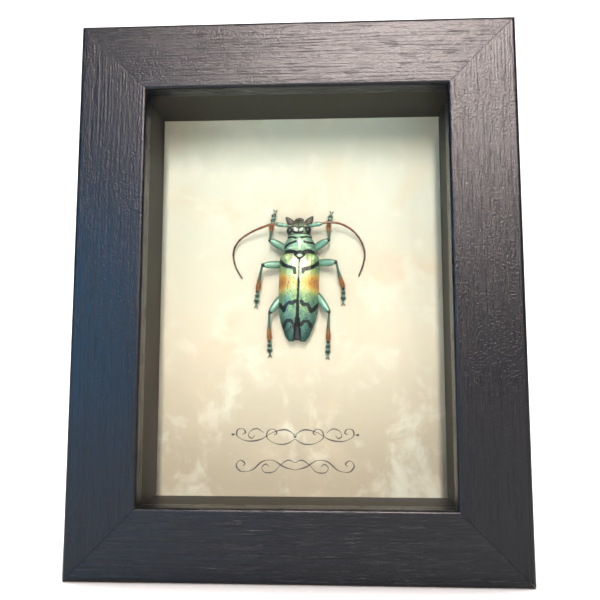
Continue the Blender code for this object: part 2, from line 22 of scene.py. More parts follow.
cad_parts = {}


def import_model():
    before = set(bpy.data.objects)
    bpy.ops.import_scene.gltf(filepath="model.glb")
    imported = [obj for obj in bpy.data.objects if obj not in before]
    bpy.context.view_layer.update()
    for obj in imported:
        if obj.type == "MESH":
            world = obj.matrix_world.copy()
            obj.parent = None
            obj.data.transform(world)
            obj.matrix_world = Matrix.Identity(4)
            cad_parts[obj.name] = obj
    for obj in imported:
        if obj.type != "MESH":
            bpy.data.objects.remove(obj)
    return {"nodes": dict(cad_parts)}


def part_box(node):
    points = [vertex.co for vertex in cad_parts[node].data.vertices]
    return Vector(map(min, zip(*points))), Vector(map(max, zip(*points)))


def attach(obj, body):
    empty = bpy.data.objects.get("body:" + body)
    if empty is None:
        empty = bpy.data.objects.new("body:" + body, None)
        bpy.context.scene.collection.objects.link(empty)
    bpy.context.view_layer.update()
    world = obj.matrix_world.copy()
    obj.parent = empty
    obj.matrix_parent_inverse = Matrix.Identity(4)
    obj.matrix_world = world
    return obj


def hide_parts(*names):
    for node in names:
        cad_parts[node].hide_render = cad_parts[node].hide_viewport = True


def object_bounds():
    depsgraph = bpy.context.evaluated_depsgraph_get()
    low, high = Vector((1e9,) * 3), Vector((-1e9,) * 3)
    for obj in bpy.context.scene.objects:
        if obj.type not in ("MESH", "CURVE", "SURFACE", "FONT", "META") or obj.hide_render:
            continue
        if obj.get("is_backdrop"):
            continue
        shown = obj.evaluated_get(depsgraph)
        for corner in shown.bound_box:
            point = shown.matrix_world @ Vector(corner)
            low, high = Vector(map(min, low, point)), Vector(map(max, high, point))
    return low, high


log = logging.getLogger("shadow_box")

MM = 0.001
LOOK_AHEAD = 0.02  # share of a limb's length over which its direction is taken
SQUARENESS = 2.3  # a body segment's section: 2 is an ellipse, and more is squarer
SENSOR_MM = 36.0

Colour = tuple[float, float, float, float]
Point = tuple[float, float]
Place = tuple[float, float, float]
Line = Sequence[Point]
Table = Sequence[tuple[float, ...]]
Rings = np.ndarray


def tint(red: int, green: int, blue: int) -> Colour:
    """Turn a colour given in 8-bit steps into a linear one.

    Args:
        red: Red, 0 to 255.
        green: Green, 0 to 255.
        blue: Blue, 0 to 255.

    Returns:
        The colour as Blender's sockets take it, opaque.
    """
    steps = [value / 255 for value in (red, green, blue)]
    linear = [s / 12.92 if s <= 0.04045 else ((s + 0.055) / 1.055) ** 2.4 for s in steps]
    return (*linear, 1.0)


class Grain(Enum):
    """The world axis that the wood of a rail grows along."""

    ACROSS = 0
    UPRIGHT = 2


class Light(Enum):
    """What a lamp does: wash surfaces with light or give glints."""

    WASH = "wash"
    GLINT = "glint"


class Value:
    """A number socket, with arithmetic that adds Math nodes to its graph."""

    def __init__(self, graph: Graph, socket: bpy.types.NodeSocket) -> None:
        """Wrap a socket of a graph."""
        self.graph = graph
        self.socket = socket

    def work(self, operation: str, *terms: Value | float) -> Value:
        """Add one Math node.

        Args:
            operation: The node's operation.
            terms: What its sockets take, in order.

        Returns:
            The node's result.
        """
        node = self.graph.node("ShaderNodeMath", {"operation": operation}, dict(enumerate(terms)))
        return Value(self.graph, node.outputs[0])

    def __add__(self, other: Value | float) -> Value:
        """Sum with a value or a number."""
        return self.work("ADD", self, other)

    __radd__ = __add__

    def __sub__(self, other: Value | float) -> Value:
        """Difference from a value or a number."""
        return self.work("SUBTRACT", self, other)

    def __rsub__(self, other: float) -> Value:
        """Difference of a number from this value."""
        return self.work("SUBTRACT", other, self)

    def __mul__(self, other: Value | float) -> Value:
        """Product with a value or a number."""
        return self.work("MULTIPLY", self, other)

    __rmul__ = __mul__

    def __pow__(self, other: float) -> Value:
        """Power of this value."""
        return self.work("POWER", self, other)

    def step(self, low: float, high: float) -> Value:
        """Rise smoothly from 0 at the low value to 1 at the high one, or fall if low is above high.

        Args:
            low: Where the result is 0.
            high: Where the result is 1.

        Returns:
            The share between them.
        """
        ends = {"From Min": low, "From Max": high, "To Min": 0.0, "To Max": 1.0}
        if low > high:
            ends = {"From Min": high, "From Max": low, "To Min": 1.0, "To Max": 0.0}
        node = self.graph.node("ShaderNodeMapRange", {"interpolation_type": "SMOOTHSTEP"},
                               {"Value": self, **ends})
        return Value(self.graph, node.outputs[0])


class Graph:
    """A node tree under construction."""

    def __init__(self, tree: bpy.types.NodeTree) -> None:
        """Take a tree to add nodes to."""
        self.tree = tree

    def node(self, kind: str, settings: dict[str, Any] | None = None,
             sockets: dict[str | int, Any] | None = None) -> bpy.types.Node:
        """Add a node, with its settings before its sockets.

        Args:
            kind: The node's type.
            settings: Its properties by name. "stops" are a ramp's places and colours.
            sockets: Values, or links, by the name or number of an input.

        Returns:
            The node.
        """
        node = self.tree.nodes.new(kind)
        for key, value in (settings or {}).items():
            if key == "stops":
                elements = node.color_ramp.elements
                while len(elements) < len(value):
                    elements.new(1.0)
                for element, (at, colour) in zip(elements, value):
                    element.position, element.color = at, colour
            else:
                setattr(node, key, value)
        for key, value in (sockets or {}).items():
            self.feed(node.inputs[key], value)
        return node

    def feed(self, socket: bpy.types.NodeSocket, value: Any) -> None:
        """Link a value or a socket to an input, or set the input."""
        source = value.socket if isinstance(value, Value) else value
        if isinstance(source, bpy.types.NodeSocket):
            self.tree.links.new(source, socket)
        else:
            socket.default_value = source

    def place(self, scale: Place = (1.0, 1.0, 1.0)) -> bpy.types.NodeSocket:
        """Object coordinates, stretched along each axis."""
        source = self.node("ShaderNodeTexCoord").outputs["Object"]
        return self.node("ShaderNodeMapping", None, {"Vector": source, "Scale": scale}).outputs[0]

    def cloud(self, size_mm: float, stretch: Place = (1.0, 1.0, 1.0), detail: float = 3.0,
              roughness: float = 0.55, distortion: float = 0.0) -> Value:
        """Noise around 0.5 over the surface.

        Args:
            size_mm: How large its features are, in millimetres.
            stretch: Factor on each axis; below 1 makes features longer along it.
            detail: Octaves of finer noise.
            roughness: How strong the finer octaves are.
            distortion: How much the noise is folded.

        Returns:
            The noise.
        """
        node = self.node("ShaderNodeTexNoise", None, {
            "Vector": self.place(stretch), "Scale": 1 / (size_mm * MM), "Detail": detail,
            "Roughness": roughness, "Distortion": distortion})
        return Value(self, node.outputs["Fac"])

    def cells(self, size_mm: float, stretch: Place = (1.0, 1.0, 1.0)) -> Value:
        """Distance to the nearest of scattered points, in cells of a size in millimetres."""
        node = self.node("ShaderNodeTexVoronoi", None, {
            "Vector": self.place(stretch), "Scale": 1 / (size_mm * MM)})
        return Value(self, node.outputs["Distance"])

    def attribute(self, name: str) -> Value:
        """A number that the mesh carries at its vertices."""
        return Value(self, self.node("ShaderNodeAttribute", {"attribute_name": name}).outputs["Fac"])

    def mix(self, share: Value, first: Any, second: Any,
            blend: str = "MIX") -> bpy.types.NodeSocket:
        """Mix two colours.

        Args:
            share: 0 for the first colour to 1 for the second.
            first: A colour or a colour socket.
            second: A colour or a colour socket.
            blend: How the second is laid on the first.

        Returns:
            The mixed colour.
        """
        node = self.node("ShaderNodeMix", {"data_type": "RGBA", "blend_type": blend},
                         {0: share, 6: first, 7: second})
        return node.outputs[2]

    def ramp(self, at: Value, stops: Sequence[tuple[float, Colour]]) -> bpy.types.NodeSocket:
        """Colours laid out from 0 to 1."""
        return self.node("ShaderNodeValToRGB", {"stops": stops}, {0: at}).outputs[0]

    def bump(self, height: Value, depth_mm: float,
             under: bpy.types.NodeSocket | None = None) -> bpy.types.NodeSocket:
        """A normal for a fine relief.

        Args:
            height: The relief, from 0 to 1.
            depth_mm: Its depth in millimetres.
            under: A normal that this one adds to.

        Returns:
            The normal.
        """
        sockets: dict[str | int, Any] = {"Height": height, "Distance": depth_mm * MM, "Strength": 1.0}
        if under is not None:
            sockets["Normal"] = under
        return self.node("ShaderNodeBump", None, sockets).outputs[0]


class Finish:
    """A finish that makes one material, whose nodes a subclass adds."""

    def dress(self, graph: Graph, shader: bpy.types.Node) -> None:
        """Add the finish's nodes in front of its shader."""
        raise NotImplementedError

    def make(self, name: str) -> bpy.types.Material:
        """Make the material.

        Args:
            name: The material's name.

        Returns:
            The material.
        """
        material = bpy.data.materials.new(name)
        material.use_nodes = True
        graph = Graph(material.node_tree)
        self.dress(graph, material.node_tree.nodes["Principled BSDF"])
        return material

    @staticmethod
    def join(graph: Graph, shader: bpy.types.Node, **sockets: Any) -> None:
        """Link or set sockets of the shader, named with underscores for spaces."""
        for key, value in sockets.items():
            graph.feed(shader.inputs[key.replace("_", " ")], value)


@dataclass(frozen=True)
class StainedWood(Finish):
    """Open-grained wood under a black-blue stain and a satin coat."""

    grain: Grain
    dark: Colour = tint(9, 11, 15)
    worn: Colour = tint(15, 18, 25)
    bare: Colour = tint(88, 80, 70)
    streak_mm: float = 0.36
    pore_mm: float = 0.26
    pore_depth_mm: float = 0.035
    length: float = 0.02
    pebble_mm: float = 0.50
    pebble_depth_mm: float = 0.130

    def dress(self, graph: Graph, shader: bpy.types.Node) -> None:
        """Lay streaks and pores along the grain, and small chips at the eased edges."""
        stretch = tuple(self.length if axis == self.grain.value else 1.0 for axis in range(3))
        streaks = graph.cloud(self.streak_mm, stretch, 5.0, 0.62)
        pores = graph.cloud(self.pore_mm, tuple(s if s == 1.0 else 3 * s for s in stretch), 2.0)
        pore = pores.step(0.60, 0.70)
        haze = graph.cloud(14.0, detail=2.0)
        colour = graph.mix(streaks.step(0.35, 0.70), self.dark, self.worn)
        colour = graph.mix(pore * 0.75, colour, tint(12, 13, 17))
        chip = graph.attribute("edge") * graph.cloud(0.9, detail=4.0).step(0.70, 0.76)
        colour = graph.mix(chip, colour, self.bare)
        pebbles = graph.cloud(self.pebble_mm, detail=3.0, roughness=0.6)
        grainy = graph.bump(pebbles, self.pebble_depth_mm)
        relief = streaks * 0.35 - pore * 0.7
        self.join(graph, shader, Base_Color=colour,
                  Roughness=0.20 + 0.10 * streaks + 0.06 * haze + 0.2 * pore,
                  Normal=graph.bump(relief, self.pore_depth_mm, grainy), Specular_IOR_Level=0.22,
                  Coat_Roughness=0.18, Coat_Weight=0.04)


@dataclass(frozen=True)
class ClearGlass(Finish):
    """A thin pane that lets lamps and eyes through and mirrors a little at its face."""

    through: Colour = tint(250, 253, 251)
    ior: float = 1.2

    def dress(self, graph: Graph, shader: bpy.types.Node) -> None:
        """Mix a clear shader with a mirror by the angle of view."""
        tree = graph.tree
        output = tree.nodes["Material Output"]
        tree.nodes.remove(shader)
        fresnel = graph.node("ShaderNodeFresnel", None, {"IOR": self.ior})
        clear = graph.node("ShaderNodeBsdfTransparent", None, {"Color": self.through})
        mirror = graph.node("ShaderNodeBsdfGlossy", None, {"Roughness": 0.02})
        both = graph.node("ShaderNodeMixShader", None, {0: fresnel.outputs[0], 1: clear.outputs[0],
                                                        2: mirror.outputs[0]})
        tree.links.new(both.outputs[0], output.inputs["Surface"])


@dataclass(frozen=True)
class Board(Finish):
    """Paper-faced or fibrous board, with flecks of a second colour."""

    ground: Colour
    fleck: Colour
    fleck_mm: float = 0.5
    share: float = 0.35
    roughness: float = 0.75
    relief_mm: float = 0.02
    stretch: Place = (1.0, 1.0, 1.0)

    def dress(self, graph: Graph, shader: bpy.types.Node) -> None:
        """Scatter fibres over a softly mottled ground."""
        fibres = graph.cloud(self.fleck_mm, self.stretch, 5.0, 0.65, 0.6)
        mottle = graph.cloud(9.0, detail=3.0)
        colour = graph.mix(fibres.step(0.62 - self.share / 3, 0.78), self.ground, self.fleck)
        colour = graph.mix(mottle * 0.35, colour, graph.mix(mottle, self.fleck, self.ground))
        self.join(graph, shader, Base_Color=colour, Roughness=self.roughness + 0.15 * (fibres - 0.5),
                  Normal=graph.bump(fibres, self.relief_mm), Specular_IOR_Level=0.35)


@dataclass(frozen=True)
class Steel(Finish):
    """Rolled steel with fine scratches and a few dull stains."""

    bright: Colour = tint(178, 178, 180)
    dull: Colour = tint(118, 114, 108)
    metallic: float = 1.0

    def dress(self, graph: Graph, shader: bpy.types.Node) -> None:
        """Lay scratches along the strip and stains over them."""
        scratches = graph.cloud(0.25, (0.04, 1.0, 1.0), 4.0, 0.7)
        stains = graph.cloud(2.4, detail=5.0, roughness=0.6)
        colour = graph.mix(stains.step(0.48, 0.72), self.bright, self.dull)
        self.join(graph, shader, Base_Color=colour, Metallic=self.metallic,
                  Roughness=0.24 + 0.22 * scratches + 0.2 * stains.step(0.5, 0.75),
                  Normal=graph.bump(scratches, 0.006))


@dataclass(frozen=True)
class Parchment(Finish):
    """Cream paper printed with a soft parchment mottle."""

    cream: Colour = tint(231, 221, 204)
    cloud: Colour = tint(243, 240, 229)
    peach: Colour = tint(231, 211, 187)
    cool: Colour = tint(229, 230, 216)
    # Painted shade: a cooler, greyer cream for the upper half of the card, standing in for the cool shade
    # cast by the top rail.
    upper: Colour = tint(225, 227, 214)
    lower: Colour = tint(197, 184, 163)

    def dress(self, graph: Graph, shader: bpy.types.Node) -> None:
        """Lay patches and whiter clouds over the cream, with painted cool shade above and deeper below."""
        broad = graph.cloud(26.0, detail=4.0, roughness=0.55, distortion=0.4)
        other = graph.cloud(19.0, (1.3, 1.0, 0.8), 5.0, 0.6, 0.8)
        puffs = graph.cloud(7.5, detail=7.0, roughness=0.62, distortion=0.5)
        tooth = graph.cloud(0.22, detail=3.0, roughness=0.7)
        height = Value(graph, graph.node("ShaderNodeSeparateXYZ", None, {0: graph.place()}).outputs[2])
        # Painted shade: the upper half is blended to the cooler tint in place of the rail's cool shadow;
        # the card also turns darker towards the bottom.
        ground = graph.mix(height.step(0.050, 0.098), self.cream, self.upper)
        ground = graph.mix(height.step(0.060, 0.022), ground, self.lower)
        colour = graph.mix(broad.step(0.44, 0.70) * 0.7, ground, self.peach)
        colour = graph.mix(other.step(0.50, 0.74) * 0.6, colour, self.cool)
        colour = graph.mix((puffs * 0.65 + other * 0.35).step(0.48, 0.62) * 0.45, colour, self.cloud)
        self.join(graph, shader, Base_Color=colour, Roughness=0.72 + 0.1 * tooth,
                  Normal=graph.bump(tooth, 0.008), Specular_IOR_Level=0.25)


@dataclass(frozen=True)
class PenInk(Finish):
    """Brown-black ink, thinner in places, on parchment."""

    deep: Colour = tint(58, 56, 60)
    thin: Colour = tint(112, 108, 106)

    def dress(self, graph: Graph, shader: bpy.types.Node) -> None:
        """Vary the ink's depth along the stroke."""
        depth = graph.cloud(0.7, detail=4.0)
        self.join(graph, shader, Base_Color=graph.mix(depth.step(0.50, 0.75), self.deep, self.thin),
                  Roughness=0.62 - 0.15 * depth)


@dataclass(frozen=True)
class Sweep(Finish):
    """Matte white paper that the box stands on."""

    pale: Colour = tint(243, 243, 242)
    shade: Colour = tint(238, 238, 238)

    def dress(self, graph: Graph, shader: bpy.types.Node) -> None:
        """Lay a very faint mottle."""
        self.join(graph, shader, Roughness=0.9,
                  Base_Color=graph.mix(graph.cloud(60.0), self.pale, self.shade))


@dataclass(frozen=True)
class Shell(Finish):
    """Insect shell under fine scales, coloured by numbers that its mesh carries.

    The mesh carries `tone`, a place on the ramp, `mark`, the signed distance in millimetres to the
    nearest dark marking, and `flush` and `pale`, the shares of two colours laid over the ramp.
    """

    stops: tuple[tuple[float, Colour], ...]
    mark: Colour = tint(13, 16, 15)
    flush: tuple[tuple[float, Colour], ...] = (
        (0.10, tint(206, 204, 120)), (0.40, tint(214, 188, 94)), (0.70, tint(208, 154, 76)),
        (1.00, tint(188, 126, 70)))
    pale: Colour = tint(236, 238, 206)
    scale_mm: float = 0.30
    stretch: Place = (1.0, 1.0, 1.0)
    ragged_mm: float = 0.30
    speckle: float = 0.75
    pit: float = 0.35
    roughness: float = 0.44
    metallic: float = 0.15
    relief_mm: float = 0.03
    coat: float = 0.08

    def dress(self, graph: Graph, shader: bpy.types.Node) -> None:
        """Colour the shell from its numbers, with ragged edges and a fine scaly relief."""
        scales = graph.cloud(self.scale_mm, self.stretch, 3.0, 0.6)
        patches = graph.cloud(4 * self.scale_mm, self.stretch, 4.0, 0.6)
        pits = graph.cells(2.0 * self.scale_mm, self.stretch)
        speckle = ((patches - 0.5) + (scales - 0.5) * 0.9) * self.speckle
        colour = graph.ramp(graph.attribute("tone") + speckle, self.stops)
        flush = graph.attribute("flush")
        warm = flush + speckle * 0.6
        colour = graph.mix(warm.step(0.02, 0.62) * flush.step(0.0, 0.08), colour,
                           graph.ramp(warm, self.flush))
        pale = graph.attribute("pale") + (scales - 0.5) * 0.5
        colour = graph.mix(pale.step(0.25, 0.95), colour, self.pale)
        colour = graph.mix(pits.step(0.36, 0.18) * patches.step(0.35, 0.6) * self.pit, colour, self.mark)
        colour = graph.mix(scales.step(0.60, 0.72) * 0.35, colour, tint(232, 240, 214))
        edge = graph.attribute("mark") + (patches - 0.5) * self.ragged_mm * 2
        edge = edge + (scales - 0.5) * self.ragged_mm
        dark = edge.step(0.06, -0.04)
        self.join(graph, shader, Base_Color=graph.mix(dark, colour, self.mark),
                  Metallic=self.metallic * (1 - dark),
                  Roughness=self.roughness + 0.22 * (scales - 0.5) + 0.06 * dark,
                  Coat_Weight=self.coat, Coat_Roughness=0.22,
                  Normal=graph.bump(pits.step(0.0, 0.45) * 0.6 + scales * 0.4, self.relief_mm))


def read(table: Table, at: float) -> list[float]:
    """Read a table of stations at a place, on a smooth curve through them.

    Args:
        table: Rows of a place and its values.
        at: The place to read.

    Returns:
        The values there.
    """
    rising = sorted(table)
    keys = [row[0] for row in rising]
    at = min(max(at, keys[0]), keys[-1])
    i = max(k for k in range(len(keys) - 1) if keys[k] <= at)
    span = keys[i + 1] - keys[i]
    t = (at - keys[i]) / span
    before, after = max(i - 1, 0), min(i + 2, len(keys) - 1)
    values = []
    for p0, p1, p2, p3 in zip(rising[before][1:], rising[i][1:], rising[i + 1][1:], rising[after][1:]):
        m1 = (p2 - p0) / max(keys[i + 1] - keys[before], span) * span
        m2 = (p3 - p1) / max(keys[after] - keys[i], span) * span
        values.append((2 * t**3 - 3 * t**2 + 1) * p1 + (t**3 - 2 * t**2 + t) * m1
                      + (3 * t**2 - 2 * t**3) * p2 + (t**3 - t**2) * m2)
    return values


def rise(value: np.ndarray | float, low: float, high: float) -> np.ndarray:
    """Rise smoothly from 0 at the low value to 1 at the high one."""
    t = np.clip((np.asarray(value, float) - low) / (high - low), 0.0, 1.0)
    return t * t * (3 - 2 * t)


def hill(value: np.ndarray | float, centre: float, width: float) -> np.ndarray:
    """A smooth hill of height 1."""
    return np.exp(-((np.asarray(value, float) - centre) / width) ** 2)


def distance(x: np.ndarray, y: np.ndarray, lines: Sequence[tuple[float, Line]]) -> np.ndarray:
    """Signed distance to strokes drawn on the beetle, negative inside them.

    Args:
        x: Places across.
        y: Places along.
        lines: Each stroke's half width and its points.

    Returns:
        The distance in millimetres at each place.
    """
    nearest = np.full(np.shape(x), 9.0)
    for half, line in lines:
        pairs = list(zip(line, line[1:])) or [(line[0], line[0])]
        for (ax, ay), (bx, by) in pairs:
            dx, dy = bx - ax, by - ay
            t = np.clip(((x - ax) * dx + (y - ay) * dy) / max(dx * dx + dy * dy, 1e-9), 0, 1)
            gap = np.hypot(x - ax - t * dx, y - ay - t * dy) - half
            nearest = np.minimum(nearest, gap)
    return nearest


def grain_noise(x: float, y: float, z: float = 0.0) -> float:
    """Noise of two octaves around 0, the same in every run."""
    return noise.noise(Vector((x, y, z))) + 0.5 * noise.noise(Vector((2.1 * x, 2.1 * y, z + 7.3)))


@dataclass
class Piece:
    """A mesh under construction: its points, its faces and the numbers at its points."""

    points: list[Any] = field(default_factory=list)
    faces: list[tuple[int, ...]] = field(default_factory=list)
    slots: list[int] = field(default_factory=list)
    numbers: dict[str, list[float]] = field(default_factory=dict)

    def loft(self, rings: Rings, slot: int = 0, pull: float = 0.0,
             **numbers: np.ndarray | float) -> None:
        """Add a closed skin over rings of points.

        Args:
            rings: Array of rings, points of a ring, and three coordinates.
            slot: Material slot of the faces.
            pull: How far each end's middle stands out, as a share of the end's ring spacing.
            numbers: Attributes, one number or one for each point.
        """
        count, around = rings.shape[:2]
        first = len(self.points)
        self.points.extend(rings.reshape(-1, 3).tolist())
        for name, values in numbers.items():
            spread = np.broadcast_to(np.asarray(values, float), (count, around))
            ends = [float(spread[0].mean()), float(spread[-1].mean())]
            kept = self.numbers.setdefault(name, [])
            kept.extend([0.0] * (first - len(kept)))
            kept.extend(spread.reshape(-1).tolist() + ends)
        for i in range(count - 1):
            for j in range(around):
                k = (j + 1) % around
                a, b = first + i * around, first + (i + 1) * around
                self.faces.append((a + j, a + k, b + k, b + j))
                self.slots.append(slot)
        for row, beside in ((0, 1), (count - 1, count - 2)):
            middle = rings[row].mean(axis=0)
            middle = middle + pull * (middle - rings[beside].mean(axis=0))
            tip = len(self.points)
            self.points.append(middle.tolist())
            start = first + row * around
            for j in range(around):
                pair = (start + (j + 1) % around, start + j)
                self.faces.append((*(pair if row == 0 else pair[::-1]), tip))
                self.slots.append(slot)

    def finish(self, name: str, materials: Sequence[bpy.types.Material], place: Matrix,
               smooth: float = 180.0) -> bpy.types.Object:
        """Make the object, at the origin, with its place in its mesh.

        Args:
            name: The piece's name.
            materials: Its materials, by slot.
            place: Where its points go in the world.
            smooth: Angle in degrees below which an edge is shaded smooth.

        Returns:
            The object.
        """
        mesh = bpy.data.meshes.new(name)
        mesh.from_pydata(self.points, [], self.faces)
        for material in materials:
            mesh.materials.append(material)
        mesh.polygons.foreach_set("material_index", self.slots)
        for key, values in self.numbers.items():
            values = values + [0.0] * (len(self.points) - len(values))
            mesh.attributes.new(key, "FLOAT", "POINT").data.foreach_set("value", values)
        mesh.transform(place)
        mesh.shade_smooth()
        if smooth < 180.0:
            mesh.set_sharp_from_angle(angle=math.radians(smooth))
        face_out(mesh)
        item = bpy.data.objects.new(name, mesh)
        bpy.context.scene.collection.objects.link(item)
        return item


def face_out(mesh: bpy.types.Mesh) -> None:
    """Turn a closed mesh right side out, judged by its signed volume."""
    count = len(mesh.polygons)
    mesh.calc_loop_triangles()
    corners = np.empty(3 * len(mesh.loop_triangles), int)
    mesh.loop_triangles.foreach_get("vertices", corners)
    spots = np.empty(3 * len(mesh.vertices))
    mesh.vertices.foreach_get("co", spots)
    a, b, c = spots.reshape(-1, 3)[corners.reshape(-1, 3)].transpose(1, 0, 2)
    if count and np.einsum("ij,ij->", a, np.cross(b, c)) < 0:
        mesh.flip_normals()


def claim(item: bpy.types.Object, slot: str, *nodes: str) -> None:
    """Fix a piece to the box and hide the nodes that it stands for."""
    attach(item, "root")
    if nodes:
        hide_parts(*nodes)
    log.info("%s: %d faces", item.name, len(item.data.polygons))


def skin_over(rings: Rings, name: str, material: bpy.types.Material, place: Matrix,
              smooth: float = 180.0, pull: float = 0.0, **numbers: np.ndarray | float) -> None:
    """Loft one piece of the beetle and fix it to the box.

    Args:
        rings: Its rings, as a piece's loft takes them.
        name: Its name.
        material: Its material.
        place: Where its points go in the world.
        smooth: Angle in degrees below which an edge is shaded smooth.
        pull: How far each end's middle stands out.
        numbers: Attributes; without them it has no markings and no laid colours.
    """
    piece = Piece()
    piece.loft(rings, pull=pull, **{"mark": 1.0, "flush": 0.0, "pale": 0.0, **numbers})
    claim(piece.finish(name, [material], place, smooth), "insect_shell", "beetle")


@dataclass
class BoxFrame:
    """The four mitred rails, with the relief of their combed grain."""

    width: float
    height: float
    front: float
    face: float = 15.875
    depth: float = 34.925
    lip: float = 4.8
    rabbet: float = 3.6
    outer_round: float = 0.9
    sight_round: float = 0.7
    back_round: float = 0.5
    mitre_gap: float = 0.08
    comb_mm: float = 0.026
    comb_pitch: float = 0.75
    step: float = 0.12
    side_step: float = 0.55
    along_step: float = 0.8

    def section(self) -> list[tuple[float, float, float, float, float]]:
        """The rail's outline: inward, depth, outward normal (two numbers) and edge wear."""
        corners = [
            (0.0, 0.0, self.outer_round), (self.face, 0.0, self.sight_round),
            (self.face, self.lip, self.sight_round / 2),
            (self.face - self.rabbet, self.lip, 0.0),
            (self.face - self.rabbet, self.depth, self.back_round),
            (0.0, self.depth, self.back_round),
        ]
        outline: list[tuple[float, float, float, float, float]] = []
        count = len(corners)
        for i, (x, y, radius) in enumerate(corners):
            corner = Vector((x, y))
            before = (Vector(corners[i - 1][:2]) - corner).normalized()
            beyond = Vector(corners[(i + 1) % count][:2]) - corner
            after = beyond.normalized()
            reach = beyond.length - radius - corners[(i + 1) % count][2]
            if radius:
                centre = corner + radius * (before + after)
                for turn in np.linspace(0, math.pi / 2, 7):
                    out = -(after * math.cos(turn) + before * math.sin(turn))
                    worn = math.sin(2 * turn) if i < 2 else 0.0
                    outline.append((*(centre + radius * out), out.x, out.y, worn))
            else:
                outline.append((x, y, 0.0, 0.0, 0.0))
            normal = -before
            fine = self.step if y == 0 and corners[(i + 1) % count][1] == 0 else self.side_step
            parts = max(int(reach / fine), 1)
            for k in range(1, parts):
                spot = corner + after * (radius + reach * k / parts)
                worn = max(0.0, 1 - min(k, parts - k) * fine / 0.5) * 0.5 if i == 0 else 0.0
                outline.append((spot.x, spot.y, normal.x, normal.y, worn))
        return outline

    def comb(self, along: float, arc: float, seed: float) -> float:
        """Height of the combed grain above the rail's mean surface, in millimetres."""
        bend = 0.6 * noise.noise(Vector((along / 38, arc / 9, seed)))
        band = noise.noise(Vector((along / 60, (arc + bend) / self.comb_pitch, seed)))
        groove = math.exp(-(band / 0.09) ** 2)
        shoulder = math.exp(-((abs(band) - 0.24) / 0.10) ** 2)
        swell = grain_noise(along / 26, (arc + bend) / 0.6, seed)
        return self.comb_mm * (0.12 * shoulder + 0.12 * swell - groove)

    def rail(self, name: str, length: float, offset: float, turn: float, seed: float,
             grain: Grain) -> bpy.types.Object:
        """Build one rail.

        Args:
            name: The rail's name.
            length: Its long side.
            offset: From the middle of the box to its outer side.
            turn: Degrees about the middle of the box, from the bottom rail.
            seed: Where its grain starts.
            grain: The world axis that its grain follows.

        Returns:
            The rail's object.
        """
        outline = self.section()
        setback = self.mitre_gap / 2 * math.sqrt(2)
        count = int(length / self.along_step)
        rings = np.empty((count + 1, len(outline), 3))
        edge = np.empty((count + 1, len(outline)))
        arc, last = 0.0, outline[0]
        for j, (inward, deep, nx, ny, worn) in enumerate(outline):
            arc += math.hypot(inward - last[0], deep - last[1])
            last = (inward, deep)
            half = length / 2 - inward - setback
            for i in range(count + 1):
                along = half * (2 * i / count - 1)
                lift = self.comb(along, arc, seed) if nx or ny else 0.0
                rings[i, j] = (along, self.front + deep + ny * lift, inward + nx * lift - offset)
                edge[i, j] = worn
        piece = Piece()
        piece.loft(rings, edge=edge)
        middle = Matrix.Translation((0, 0, self.height / 2 * MM))
        place = middle @ Matrix.Rotation(math.radians(turn), 4, "Y") @ Matrix.Scale(MM, 4)
        return piece.finish(name, [StainedWood(grain).make(name + "_stain")], place, 40.0)

    def build(self) -> None:
        """Build and place the four rails."""
        sides = {
            "bottom": (self.width, self.height / 2, 0, 1.0, Grain.ACROSS),
            "left": (self.height, self.width / 2, 90, 21.0, Grain.UPRIGHT),
            "top": (self.width, self.height / 2, 180, 41.0, Grain.ACROSS),
            "right": (self.height, self.width / 2, 270, 61.0, Grain.UPRIGHT),
        }
        for side, values in sides.items():
            claim(self.rail(f"rail_{side}_wood", *values), "stained_wood", f"rail_{side}")


